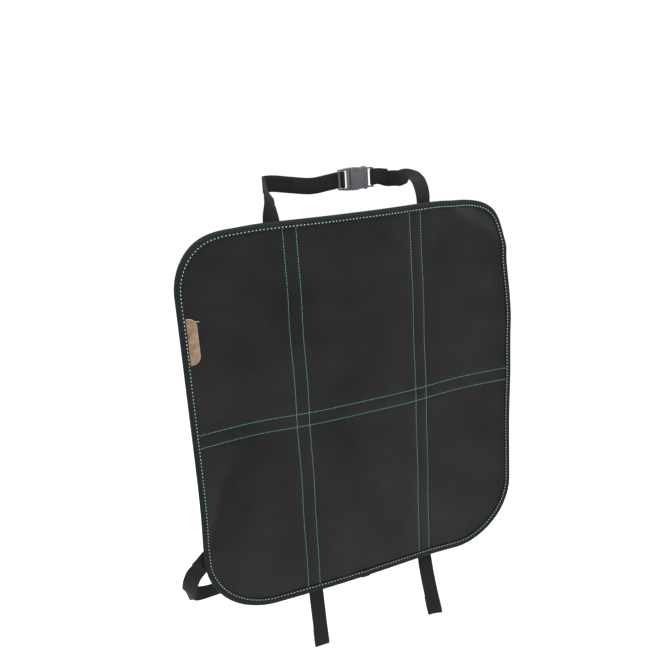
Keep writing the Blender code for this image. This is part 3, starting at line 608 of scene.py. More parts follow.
    def quilting(self, u: np.ndarray, v: np.ndarray) -> np.ndarray:
        """Return how far the padded face stands out at flat points."""
        across = self.swell(u, self.upright_seams(), self.width / 2 - self.binding_width)
        up = self.swell(v, self.cross_seams(), self.height / 2 - self.binding_width)
        rise = self.puff * across * up
        for off, along, phase in self.seam_distances(u, v):
            rise -= self.groove * np.exp(-(off / self.groove_spread) ** 2)
            uneven = 2.0 * np.sin(37.0 * along + phase)
            ripple = np.sin(2 * math.pi * along / self.pucker_pitch + phase + uneven)
            rise += self.pucker * ripple * np.exp(-np.abs(off) / self.pucker_reach)
        return rise

    def seam_distances(self, u: np.ndarray, v: np.ndarray) -> list[tuple[np.ndarray, np.ndarray, float]]:
        """Return, for each quilting seam, the distance from it, the place along it and its phase."""
        upright = [(u - seam, v, 1.7 * i) for i, seam in enumerate(self.upright_seams())]
        return upright + [(v - seam, u, 0.9 + 2.3 * i) for i, seam in enumerate(self.cross_seams())]

    def bow(self, u: np.ndarray, v: np.ndarray) -> np.ndarray:
        """Return how far back the worn mat lies at flat points, folds and slack included."""
        s, t = u / (self.width / 2), v / (self.height / 2)
        curve = self.side_bow * s**2 - self.edge_return * s**4
        curve = curve + self.height_bow * t**2 + self.shoulder_wrap * s**2 * t
        slack = self.slack * np.sin(31.0 * u + 17.0 * v + 0.8) * np.sin(23.0 * v - 9.0 * u + 2.1)
        return curve - slack - sum(fold.relief(u, v) for fold in self.folds)

    def worn(self, u: np.ndarray, v: np.ndarray, depth: np.ndarray | float) -> np.ndarray:
        """Return where flat points of the mat lie when it is worn.

        Args:
            u: Places across the flat mat.
            v: Places up the flat mat.
            depth: Depths from the cover's face.

        Returns:
            One (x, y, z) for each point, in the frame.
        """
        u, v, depth = np.broadcast_arrays(*(np.asarray(a, float) for a in (u, v, depth)))
        s, t = u / (self.width / 2), v / (self.height / 2)
        free = (1 - np.clip(s**4, 0, 1)) * (1 - np.clip(t**4, 0, 1))
        share = np.clip((self.foam_back - depth) / self.foam, 0.0, 1.0)
        x = u * (1 - self.wrap_shortening * s**2) + self.wander * free * np.sin(52.0 * v + 9.0 * u)
        y = self.bow(u, v) + depth - share * self.quilting(u, v)
        z = v + self.wander * free * np.sin(47.0 * u + 1.3)
        for drift in self.drifts:
            across, up = drift.pull(u, v)
            x, z = x + across, z + up
        return np.stack([x, y, z], axis=-1) + np.array(self.centre)

    def corner_arcs(self, spacing: float) -> list[tuple[np.ndarray, np.ndarray]]:
        """Return each corner's (u, v) points and the way outwards at each, anticlockwise."""
        corners = (
            (Side.RIGHT, 1, self.top_corner, 0.0),
            (Side.LEFT, 1, self.top_corner, 0.5 * math.pi),
            (Side.LEFT, -1, self.bottom_corner, math.pi),
            (Side.RIGHT, -1, self.bottom_corner, 1.5 * math.pi),
        )
        arcs = []
        for side, end, radius, start in corners:
            middle = (side.value * (self.width / 2 - radius), end * (self.height / 2 - radius))
            quarter = 0.5 * math.pi
            angles = start + np.linspace(0, quarter, math.ceil(quarter * radius / spacing) + 1)
            out = np.stack([np.cos(angles), np.sin(angles)], axis=-1)
            arcs.append((middle + radius * out, out))
        return arcs

    def outline(self, inset: float, spacing: float) -> list[Point]:
        """Return the mat's outline drawn inwards by an inset, as its corners' points."""
        return [tuple(p) for arc, out in self.corner_arcs(spacing) for p in arc - inset * out]

    def edge_stations(self, spacing: float) -> tuple[np.ndarray, np.ndarray]:
        """Return points round the mat's edge and the way inwards at each.

        Args:
            spacing: The longest step between points.

        Returns:
            The (u, v) points, anticlockwise, and the unit (u, v) directions inwards.
        """
        arcs = self.corner_arcs(spacing)
        points, inwards = [], []
        for k, (arc, out) in enumerate(arcs):
            start = arcs[(k + 1) % len(arcs)][0][0]
            count = math.ceil(math.dist(arc[-1], start) / spacing)
            points += [*arc, *(arc[-1] + (start - arc[-1]) * i / count for i in range(1, count))]
            inwards += [*-out, *[-out[-1]] * (count - 1)]
        return np.array(points), np.array(inwards)


# Mesh helpers


def add_object(name: str, data: bpy.types.ID) -> bpy.types.Object:
    """Add an object to the scene.

    Args:
        name: The object's name.
        data: The mesh, lamp or camera that it holds.

    Returns:
        The object.
    """
    made = bpy.data.objects.new(name, data)
    bpy.context.scene.collection.objects.link(made)
    return made


def to_object(name: str, bm: bmesh.types.BMesh, sharp: float = 40.0) -> bpy.types.Object:
    """Turn a bmesh into a smooth-shaded object in the scene.

    Args:
        name: The object's name.
        bm: The mesh, which is freed.
        sharp: The angle in degrees from which an edge stays sharp.

    Returns:
        The object.
    """
    mesh = bpy.data.meshes.new(name)
    bmesh.ops.recalc_face_normals(bm, faces=bm.faces[:])
    bm.to_mesh(mesh)
    bm.free()
    mesh.shade_smooth()
    mesh.set_sharp_from_angle(angle=math.radians(sharp))
    return add_object(name, mesh)


def dress(piece: bpy.types.Object, finish: bpy.types.Material, slot: str, *nodes: str) -> None:
    """Give a piece its finish and its body, and hide the frame's nodes that it stands for."""
    piece.data.materials.clear()
    piece.data.materials.append(finish)
    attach(piece, BODY)
    if nodes:
        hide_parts(*nodes)
    log.info("%s: %d faces", piece.name, len(piece.data.polygons))


def grid_lines(low: float, high: float, step: float, seams: list[float], near: Point) -> np.ndarray:
    """Return cut lines between two ends: even ones, and closer ones beside each seam.

    Args:
        low: The first line.
        high: The last line.
        step: The even spacing.
        seams: Where the seams lie.
        near: Distances from a seam at which extra lines lie.
    """
    even = np.linspace(low, high, math.ceil((high - low) / step) + 1)
    close = [s + side * d for s in seams for d in near for side in (-1, 1)] + list(seams)
    clear = [line for line in even if all(abs(line - c) > 0.35 * step for c in close)]
    return np.array(sorted([*clear, *close]))


def flat_grid(across: np.ndarray, up: np.ndarray, outline: list[Point]) -> bmesh.types.BMesh:
    """Return a flat grid of faces, trimmed to a convex outline.

    Args:
        across: Cut lines along u.
        up: Cut lines along v.
        outline: The outline's (u, v) points, anticlockwise.

    Returns:
        The grid, with each vertex at (u, 0, v).
    """
    bm = bmesh.new()
    bmesh.ops.create_grid(bm, x_segments=len(across) - 1, y_segments=len(up) - 1, size=1.0)
    bm.verts.ensure_lookup_table()
    for index, vertex in enumerate(bm.verts):
        row, column = divmod(index, len(across))
        vertex.co = (across[column], 0.0, up[row])
    for (u0, v0), (u1, v1) in zip(outline, outline[1:] + outline[:1]):
        if math.dist((u0, v0), (u1, v1)) < 1e-6:
            continue
        geometry = bm.verts[:] + bm.edges[:] + bm.faces[:]
        bmesh.ops.bisect_plane(bm, geom=geometry, dist=1e-7, plane_co=(u0, 0.0, v0),
                               plane_no=(v1 - v0, 0.0, u0 - u1), clear_outer=True)
    return bm


def thicken(bm: bmesh.types.BMesh, front: float, thickness: float) -> None:
    """Turn a flat grid into a slab whose front lies at a depth."""
    for vertex in bm.verts:
        vertex.co.y = front
    extruded = bmesh.ops.extrude_face_region(bm, geom=bm.faces[:])["geom"]
    verts = [item for item in extruded if isinstance(item, bmesh.types.BMVert)]
    bmesh.ops.translate(bm, verts=verts, vec=(0.0, thickness, 0.0))


def wear(piece: bpy.types.Object, shape: MatShape) -> None:
    """Keep a flat piece's (u, v) as its UV map, then move its vertices to the worn mat."""
    mesh = piece.data
    flat = np.empty(3 * len(mesh.vertices))
    mesh.vertices.foreach_get("co", flat)
    u, depth, v = flat.reshape(-1, 3).T
    corner = np.empty(len(mesh.loops), int)
    mesh.loops.foreach_get("vertex_index", corner)
    layer = mesh.uv_layers.new(name="flat")
    layer.data.foreach_set("uv", np.stack([u[corner], v[corner]], axis=-1).ravel())
    mesh.vertices.foreach_set("co", shape.worn(u, v, depth).ravel())
    mesh.update()


def swept_skin(name: str, rings: np.ndarray, closed: bool, sharp: float = 50.0) -> bpy.types.Object:
    """Build a closed skin over rings of points, with its real lengths as its UV map.

    Args:
        name: The object's name.
        rings: The points, shaped (stations, points round the section, 3).
        closed: Whether the last ring joins the first. If not, both ends are capped.
        sharp: The angle in degrees from which an edge stays sharp.

    Returns:
        The object.
    """
    stations, section = rings.shape[:2]
    spans = stations if closed else stations - 1
    steps = np.linalg.norm(np.roll(rings, -1, axis=0) - rings, axis=2).mean(axis=1)
    along = np.concatenate([[0.0], np.cumsum(steps)])
    sides = np.linalg.norm(np.roll(rings, -1, axis=1) - rings, axis=2).mean(axis=0)
    across = np.concatenate([[0.0], np.cumsum(sides)])
    faces, places = [], []
    for i in range(spans):
        here, after = i * section, (i + 1) % stations * section
        for j in range(section):
            k = (j + 1) % section
            faces.append((here + j, after + j, after + k, here + k))
            places += [(along[i], across[j]), (along[i + 1], across[j]),
                       (along[i + 1], across[j + 1]), (along[i], across[j + 1])]
    if not closed:
        for end in (0, stations - 1):
            faces.append([end * section + j for j in range(section)])
            places += [(along[end], across[j]) for j in range(section)]
    mesh = bpy.data.meshes.new(name)
    mesh.from_pydata(rings.reshape(-1, 3).tolist(), [], faces)
    layer = mesh.uv_layers.new(name="flat")
    layer.data.foreach_set("uv", np.array(places).ravel())
    bm = bmesh.new()
    bm.from_mesh(mesh)
    bpy.data.meshes.remove(mesh)
    return to_object(name, bm, sharp)


# Stitches


@dataclass(frozen=True)
class StitchRun:
    """Lockstitches laid along paths by a Geometry Nodes tree.

    Attributes:
        pitch: Distance from one stitch to the next.
        length: Length of the thread that shows.
        width: Thickness of the thread.
        rise: How far the middle of a stitch stands over its ends.
        sides: Sides of the thread's round section.
        bends: Straight pieces in each stitch.
    """

    pitch: float
    length: float
    width: float
    rise: float
    sides: int = 6
    bends: int = 4

    def tree(self, finish: bpy.types.Material) -> bpy.types.GeometryNodeTree:
        """Return a tree that sets a bent thread at each step of its input paths.

        The input mesh holds paths as edges, with the face direction in the attribute "facing". The tree
        turns them to curves, steps along them, turns each thread to the path and the face, and makes
        the threads real.
        """
        tree = bpy.data.node_groups.new("stitch_run", "GeometryNodeTree")
        face = tree.interface
        face.new_socket("Geometry", in_out="INPUT", socket_type="NodeSocketGeometry")
        for name in ("Pitch", "Stitch Length", "Thread Width", "Rise"):
            face.new_socket(name, in_out="INPUT", socket_type="NodeSocketFloat")
        face.new_socket("Geometry", in_out="OUTPUT", socket_type="NodeSocketGeometry")
        given = add_node(tree, "NodeGroupInput").outputs
        curves = add_node(tree, "GeometryNodeMeshToCurve", links={"Mesh": given["Geometry"]})
        steps = add_node(tree, "GeometryNodeResampleCurve", {"mode": "LENGTH"},
                         links={"Curve": curves.outputs[0], "Length": given["Pitch"]})
        facing = add_node(tree, "GeometryNodeInputNamedAttribute", {"data_type": "FLOAT_VECTOR"},
                          {"Name": "facing"}).outputs["Attribute"]
        way = add_node(tree, "GeometryNodeInputTangent").outputs["Tangent"]
        turn = add_node(tree, "FunctionNodeAxesToRotation", {"primary_axis": "Z", "secondary_axis": "X"},
                        links={"Primary Axis": facing, "Secondary Axis": way}).outputs["Rotation"]

        half, back, sunk, radius = (
            add_node(tree, "ShaderNodeMath", {"operation": "MULTIPLY"}, {1: share},
                     {0: given[size]}).outputs[0]
            for size, share in (("Stitch Length", 0.5), ("Stitch Length", -0.5),
                                ("Thread Width", -0.45), ("Thread Width", 0.5))
        )
        start = add_node(tree, "ShaderNodeCombineXYZ", links={"X": back, "Z": sunk}).outputs[0]
        crest = add_node(tree, "ShaderNodeCombineXYZ", links={"Z": given["Rise"]}).outputs[0]
        end = add_node(tree, "ShaderNodeCombineXYZ", links={"X": half, "Z": sunk}).outputs[0]
        bend = add_node(tree, "GeometryNodeCurveQuadraticBezier", values={"Resolution": self.bends},
                        links={"Start": start, "Middle": crest, "End": end})
        travelled = add_node(tree, "GeometryNodeSplineParameter").outputs["Length"]
        marked = add_node(tree, "GeometryNodeStoreNamedAttribute", {"data_type": "FLOAT", "domain": "POINT"},
                          {"Name": "along"}, {"Geometry": bend.outputs[0], "Value": travelled})
        ring = add_node(tree, "GeometryNodeCurvePrimitiveCircle", values={"Resolution": self.sides},
                        links={"Radius": radius}).outputs["Curve"]
        round_way = add_node(tree, "GeometryNodeSplineParameter").outputs["Factor"]
        ringed = add_node(tree, "GeometryNodeStoreNamedAttribute", {"data_type": "FLOAT", "domain": "POINT"},
                          {"Name": "around"}, {"Geometry": ring, "Value": round_way})
        thread = add_node(tree, "GeometryNodeCurveToMesh", values={"Fill Caps": True},
                          links={"Curve": marked.outputs[0], "Profile Curve": ringed.outputs[0]})
        smooth = add_node(tree, "GeometryNodeSetShadeSmooth", links={"Geometry": thread.outputs[0]})

        laid = add_node(tree, "GeometryNodeInstanceOnPoints",
                        links={"Points": steps.outputs[0], "Instance": smooth.outputs[0], "Rotation": turn})
        real = add_node(tree, "GeometryNodeRealizeInstances", links={"Geometry": laid.outputs[0]})
        done = add_node(tree, "GeometryNodeSetMaterial", values={"Material": finish},
                        links={"Geometry": real.outputs[0]})
        add_node(tree, "NodeGroupOutput", links={"Geometry": done.outputs[0]})
        return tree

    def lay(self, name: str, paths: list[tuple[np.ndarray, np.ndarray, bool]],
            finish: bpy.types.Material) -> bpy.types.Object:
        """Lay stitches along paths and return them as one plain mesh.

        Args:
            name: The new object's name.
            paths: For each path its points, the face direction at each, and whether it is closed.
            finish: The thread's material.

        Returns:
            The stitches' object.
        """
        points = np.concatenate([path[0] for path in paths])
        facing = np.concatenate([path[1] for path in paths])
        edges, first = [], 0
        for path, _, closed in paths:
            count = len(path)
            edges += [(first + i, first + (i + 1) % count) for i in range(count if closed else count - 1)]
            first += count
        guide_mesh = bpy.data.meshes.new(name + "_guide")
        guide_mesh.from_pydata(points.tolist(), edges, [])
        ways = guide_mesh.attributes.new("facing", "FLOAT_VECTOR", "POINT")
        ways.data.foreach_set("vector", facing.ravel())
        guide = add_object(name + "_guide", guide_mesh)
        modifier = guide.modifiers.new("stitches", "NODES")
        modifier.node_group = self.tree(finish)
        sizes = {"Pitch": self.pitch, "Stitch Length": self.length, "Thread Width": self.width,
                 "Rise": self.rise}
        for item in modifier.node_group.interface.items_tree:
            if item.in_out == "INPUT" and item.name in sizes:
                modifier[item.identifier] = sizes[item.name]
        evaluated = guide.evaluated_get(bpy.context.evaluated_depsgraph_get())
        mesh = bpy.data.meshes.new_from_object(evaluated)
        guide.modifiers.remove(modifier)
        bpy.data.objects.remove(guide)
        mesh.name = name
        return add_object(name, mesh)


def facing_of(points: np.ndarray, beside: np.ndarray, face: Face) -> np.ndarray:
    """Return unit normals of a surface along a path, from the path and a second one beside it.

    Args:
        points: The path's points.
        beside: Points of the surface a little to one side of it.
        face: Which way the normals point, along Y.
    """
    way = np.gradient(points, axis=0)
    normal = np.cross(way, beside - points)
    normal /= np.linalg.norm(normal, axis=1, keepdims=True)
    flip = np.where(np.sign(normal[:, 1]) == face.value, 1.0, -1.0)
    return normal * flip[:, None]


# Sub-assemblies


@dataclass
class QuiltedMat:
    """The three layers of the mat: faux-leather cover, foam padding and back lining.

    Attributes:
        shape: The mat's shape.
        cover_cell: Spacing of the cover's grid.
        padding_cell: Spacing of the padding's grid.
        lining_cell: Spacing of the lining's grid.
        seam_lines: Distances from a seam at which the cover has extra lines.
        corner_step: Length of the straight cuts that trim the corners.
    """

    shape: MatShape
    cover_cell: float = 2.9 * MM
    padding_cell: float = 5.0 * MM
    lining_cell: float = 4.0 * MM
    seam_lines: Point = (0.8 * MM, 1.8 * MM)
    corner_step: float = 8.0 * MM

    def layer(self, name: str, front: float, thickness: float, cell: float, near: tuple) -> bpy.types.Object:
        """Build one layer of the mat, worn, edge to edge inside the binding.

        Args:
            name: The piece's name.
            front: Depth of its front.
            thickness: Its thickness.
            cell: Spacing of its grid.
            near: Distances from a seam at which it has extra lines.
        """
        shape = self.shape
        half_u = shape.width / 2 - shape.sheet_inset
        half_v = shape.height / 2 - shape.sheet_inset
        across = grid_lines(-half_u, half_u, cell, shape.upright_seams(), near)
        up = grid_lines(-half_v, half_v, cell, shape.cross_seams(), near)
        bm = flat_grid(across, up, shape.outline(shape.sheet_inset, self.corner_step))
        thicken(bm, front, thickness)
        piece = to_object(name, bm)
        wear(piece, shape)
        return piece

    def build(self, leather: bpy.types.Material, foam: bpy.types.Material,
              cloth: bpy.types.Material) -> None:
        """Build and dress the three layers."""
        shape = self.shape
        cover = self.layer("quilted_cover", 0.0, shape.cover, self.cover_cell, self.seam_lines)
        dress(cover, leather, "faux_leather", "front_cover")
        padding = self.layer("padding", shape.foam_front, shape.foam, self.padding_cell, ())
        dress(padding, foam, "foam", "foam_padding")
        lining = self.layer("lining", shape.lining_front, shape.lining, self.lining_cell, ())
        dress(lining, cloth, "lining_cloth", "back_lining")


@dataclass
class SideTab:
    """The leather tab that stands in from the binding on the left edge.

    Attributes:
        shape: The mat's shape.
        width: How far it stands in from the binding.
        height: Its length along the edge.
        centre: Its middle, up the mat.
        thickness: The leather's thickness.
        corner: Radius of its free corners.
        tuck: How far it goes in under the binding.
        curl: How far its free edge lifts.
        cell: Spacing of its grid.
        round: Radius of its worn edges.
        rim: Width of the painted highlight along its edge.
        end_length: How far the loose thread end runs.
        end_radius: Radius of that thread.
    """

    shape: MatShape
    width: float = 13.0 * MM
    height: float = 54.0 * MM
    centre: float = 121.0 * MM
    thickness: float = 1.5 * MM
    corner: float = 10.0 * MM
    tuck: float = 1.4 * MM
    curl: float = 0.5 * MM
    cell: float = 0.9 * MM
    round: float = 0.35 * MM
    rim: float = 0.9 * MM
    end_length: float = 4.5 * MM
    end_radius: float = 0.4 * MM

    @property
    def inner(self) -> float:
        """Place of the binding's inner edge, where the tab comes out."""
        return -self.shape.width / 2 + self.shape.binding_width

    def outline(self) -> list[Point]:
        """Return its outline, anticlockwise."""
        right = self.inner + self.width
        low, high = self.centre - self.height / 2, self.centre + self.height / 2
        points = [(self.inner - self.tuck, high), (self.inner - self.tuck, low)]
        for middle, start in ((low + self.corner, -90), (high - self.corner, 0)):
            for degrees in range(start, start + 91, 9):
                angle = math.radians(degrees)
                points.append((right - self.corner + self.corner * math.cos(angle),
                               middle + self.corner * math.sin(angle)))
        return points

    def mark_rim_highlight(self, piece: bpy.types.Object) -> None:
        """Store how near each vertex of the flat tab lies to its free edge, for the painted edge highlight.
        """
        flat = np.array([vertex.co for vertex in piece.data.vertices])
        away_u = flat[:, 0] - (self.inner + self.width - self.corner)
        away_v = np.abs(flat[:, 2] - self.centre) - (self.height / 2 - self.corner)
        outside = np.hypot(np.maximum(away_u, 0), np.maximum(away_v, 0))
        inside = np.minimum(np.maximum(away_u, away_v), 0)
        depth = self.corner - outside - inside
        rim = np.clip(1 - depth / self.rim, 0, 1)
        piece.data.attributes.new("rim", "FLOAT", "POINT").data.foreach_set("value", rim)

    def build(self, leather: bpy.types.Material, thread: bpy.types.Material) -> None:
        """Build and dress the tab and the loose thread end at its upper corner."""
        points = self.outline()
        low, high = np.min(points, axis=0), np.max(points, axis=0)
        across = grid_lines(low[0], high[0], self.cell, [], ())
        up = grid_lines(low[1], high[1], self.cell, [], ())
        bm = flat_grid(across, up, points)
        thicken(bm, -self.shape.gap - self.thickness, self.thickness)
        rims = [e for e in bm.edges if len(e.link_faces) == 2 and e.calc_face_angle() > math.radians(60)]
        bmesh.ops.bevel(bm, geom=rims, offset=self.round, segments=2, affect="EDGES", profile=0.5)
        for vertex in bm.verts:
            reach = max(vertex.co.x - self.inner, 0.0) / self.width
            vertex.co.y -= self.curl * reach**2
        tab = to_object("leather_tab", bm)
        self.mark_rim_highlight(tab)
        wear(tab, self.shape)
        dress(tab, leather, "tan_leather", "side_tab")
        self.loose_end(thread)

    def loose_end(self, thread: bpy.types.Material) -> None:
        """Build the short thread end that sticks out at the tab's upper corner."""
        start = (self.inner + self.width - 1.5 * MM, self.centre + self.height / 2 - 4.0 * MM)
        steps = np.linspace(0, 1, 9)
        path = self.shape.worn(start[0] + self.end_length * steps, start[1] - 1.0 * MM * steps,
                               -1.0 * MM - 0.9 * MM * np.sin(math.pi * steps))
        piece = round_cord("loose_thread_end", path, self.end_radius, 8)
        dress(piece, thread, "teal_thread")


def round_cord(name: str, path: np.ndarray, radius: float, sides: int) -> bpy.types.Object:
    """Return a round tube along a path.

    Args:
        name: The object's name.
        path: The path's points.
        radius: The tube's radius.
        sides: The sides of its section.
    """
    way = np.gradient(path, axis=0)
    way /= np.linalg.norm(way, axis=1, keepdims=True)
    out = np.cross(way, (0.0, -1.0, 0.0))
    out /= np.linalg.norm(out, axis=1, keepdims=True)
    other = np.cross(way, out)
    angles = np.linspace(0, 2 * math.pi, sides, endpoint=False)
    cosines, sines = np.cos(angles)[None, :, None], np.sin(angles)[None, :, None]
    section = cosines * out[:, None, :] + sines * other[:, None, :]
    return swept_skin(name, path[:, None, :] + radius * section, closed=False)


@dataclass
class EdgeBinding:
    """The woven tape folded over the mat's edge, with its ends lapped at the bottom.

    Attributes:
        shape: The mat's shape.
        tab: The tab that it holds.
        spacing: Distance between its stations.
        bend_steps: Straight pieces in its turn.
        seam_inset: Where the seam presses it.
        seam_dip: How deep the seam presses it.
        waver: How far its inner edge strays.
        low_reach: How much further in it reaches along the bottom.
        ramp: Length of the slopes on which it rises over the tab.
        play: Room between it and what lies under it.
        lap_centre: Where its ends lap, across the mat.
        lap: Half the length of the lap.
    """

    shape: MatShape
    tab: SideTab
    spacing: float = 2.2 * MM
    bend_steps: int = 8
    seam_inset: float = 7.0 * MM
    seam_dip: float = 0.22 * MM
    waver: float = 0.25 * MM
    low_reach: float = 2.4 * MM
    ramp: float = 4.0 * MM
    play: float = 0.1 * MM
    lap_centre: float = -9.0 * MM
    lap: float = 7.0 * MM

    @property
    def front(self) -> float:
        """Depth of the tape's outer face on the front."""
        return -self.shape.gap - self.shape.binding

    @property
    def rear(self) -> float:
        """Depth of the tape's outer face on the back."""
        return self.shape.back + self.shape.gap + self.shape.binding

    def lift(self, u: np.ndarray, v: np.ndarray, inset: np.ndarray) -> np.ndarray:
        """Return how far the front of the tape rises over the tab."""
        tab = self.tab
        along = (tab.height / 2 + self.ramp / 2 - np.abs(v - tab.centre)) / self.ramp
        inwards = (inset - 3.5 * MM) / self.ramp
        here = np.where(u < 0, 1.0, 0.0)
        return here * (tab.thickness + self.play) * ease(along) * ease(inwards)

    def reach(self, inset: np.ndarray, inwards: np.ndarray) -> np.ndarray:
        """Return insets drawn further in where the edge is the mat's bottom."""
        return inset + self.low_reach * ease(inwards[..., 1]) * ease((inset - 2.0 * MM) / (5.0 * MM))

    def section(self, over: float) -> list[Point]:
        """Return the tape's section as (inset, depth) points: a leg on each face and a round turn.

        Args:
            over: How far this layer lies outside the first.
        """
        shape, wide = self.shape, self.shape.binding_width
        thick, middle = shape.binding, shape.back / 2
        inner_bend = shape.edge_bend + over
        outer_bend = inner_bend + thick
        edge = 0.3 * MM

        def turn(radius: float) -> list[Point]:
            """Return the points of the half turn at one radius, from front to back."""
            angles = np.linspace(0, math.pi, self.bend_steps + 1)
            return [(shape.sheet_inset - radius * math.sin(a), middle - radius * math.cos(a)) for a in angles]

        legs = ((wide - edge, 0.0), (self.seam_inset + 1.0 * MM, 0.0), (self.seam_inset, self.seam_dip),
                (self.seam_inset - 1.0 * MM, 0.0), (self.seam_inset - 2.0 * MM, 0.0))
        out_front, out_back = self.front - over, self.rear + over
        front = [(inset, out_front + dip) for inset, dip in legs]
        back = [(inset, out_back - dip) for inset, dip in reversed(legs)]
        inside_front, inside_back = out_front + thick, out_back - thick
        outer = [(wide, out_front + thick / 2), *front, *turn(outer_bend), *back,
                 (wide, out_back - thick / 2)]
        inner = [(wide - edge, inside_back), (self.seam_inset, inside_back), *reversed(turn(inner_bend)),
                 (self.seam_inset, inside_front), (wide - edge, inside_front)]
        return outer + inner

    def rings(self, points: np.ndarray, inwards: np.ndarray, over: float) -> np.ndarray:
        """Return the worn section at each edge station."""
        section = np.array(self.section(over))
        inset = np.broadcast_to(section[None, :, 0], (len(points), len(section)))
        depth = np.broadcast_to(section[None, :, 1], inset.shape)
        place = np.arange(len(points))[:, None] * self.spacing
        stray = self.waver * np.sin(place / (11 * MM) + 1.5 * np.sin(place / (37 * MM)))
        inset = inset + stray * ease((inset - 6.0 * MM) / (3.0 * MM))
        inset = self.reach(inset, inwards[:, None, :])
        flat = points[:, None, :] + inset[:, :, None] * inwards[:, None, :]
        u, v = flat[..., 0], flat[..., 1]
        raised = np.where(depth < self.shape.back / 2, self.lift(u, v, inset), 0.0)
        return self.shape.worn(u, v, depth - raised)

    def build(self, tape: bpy.types.Material) -> None:
        """Build and dress the tape and its lapped ends."""
        points, inwards = self.shape.edge_stations(self.spacing)
        ring = swept_skin("binding_tape", self.rings(points, inwards, 0.0), closed=True)
        dress(ring, tape, "binding_tape", "edge_binding")
        near = (points[:, 1] < 0) & (np.abs(points[:, 0] - self.lap_centre) < self.lap)
        lapped = self.rings(points[near], inwards[near], self.shape.binding + self.play)
        lap = swept_skin("binding_lap", lapped, closed=False)
        dress(lap, tape, "binding_tape")

    def seam_path(self, face: Face) -> tuple[np.ndarray, np.ndarray, bool]:
        """Return the path of the edge seam on one face, as StitchRun.lay() takes it."""
        points, inwards = self.shape.edge_stations(self.spacing)
        inset = self.reach(np.full((len(points), 1), self.seam_inset), inwards[:, None, :])
        u, v = (points + inset * inwards).T
        beside_u, beside_v = (points + (inset + 1.0 * MM) * inwards).T
        over = np.where((v < 0) & (np.abs(u - self.lap_centre) < self.lap), self.shape.binding, 0.0)
        if face is Face.FRONT:
            depth = self.front + self.seam_dip - over - self.lift(u, v, np.full_like(u, self.seam_inset))
        else:
            depth = self.rear - self.seam_dip + over
        path = self.shape.worn(u, v, depth)
        return path, facing_of(path, self.shape.worn(beside_u, beside_v, depth), face), True


def ease(share: np.ndarray) -> np.ndarray:
    """Return a smooth step from 0 to 1."""
    share = np.clip(share, 0.0, 1.0)
    return share * share * (3 - 2 * share)


@dataclass
class Seams:
    """The seams in teal thread: three quilting pairs through the mat and one round the binding.

    Attributes:
        shape: The mat's shape.
        binding: The tape that the edge seam holds.
        quilting: The quilting stitch.
        edge: The edge stitch.
        step: Distance between the points of a path.
    """

    shape: MatShape
    binding: EdgeBinding
    quilting: StitchRun = StitchRun(pitch=3.9 * MM, length=3.1 * MM, width=0.75 * MM, rise=0.8 * MM)
    # The real edge stitches lie 3.5 mm apart. They are drawn wider apart, so that each one shows
    edge: StitchRun = StitchRun(pitch=4.4 * MM, length=1.5 * MM, width=1.1 * MM, rise=1.0 * MM)
    step: float = 2.0 * MM

    def quilting_path(self, fixed: float, upright: bool, face: Face) -> tuple[np.ndarray, np.ndarray, bool]:
        """Return the path of one quilting seam on one face, from binding to binding."""
        shape = self.shape
        reach = (shape.height if upright else shape.width) / 2 - shape.binding_width - 1.0 * MM
        run = np.arange(-reach, reach + self.step / 2, self.step)
        still = np.full_like(run, fixed)
        beside = still + 1.0 * MM
        depth = 0.0 if face is Face.FRONT else shape.back
        u, v = (still, run) if upright else (run, still)
        beside_u, beside_v = (beside, run) if upright else (run, beside)
        path = shape.worn(u, v, depth)
        return path, facing_of(path, shape.worn(beside_u, beside_v, depth), face), False

    def build(self, teal: bpy.types.Material, pale: bpy.types.Material) -> None:
        """Build and dress both kinds of seam, on both faces."""
        shape = self.shape
        paths = [self.quilting_path(u, True, face) for u in shape.upright_seams() for face in Face]
        paths += [self.quilting_path(v, False, face) for v in shape.cross_seams() for face in Face]
        quilting = self.quilting.lay("quilting_stitches", paths, teal)
        dress(quilting, teal, "teal_thread", "quilting_thread")
        edge = self.edge.lay("edge_stitches", [self.binding.seam_path(face) for face in Face], pale)
        dress(edge, pale, "teal_thread", "edge_thread")


Station = tuple[Vector, Vector]


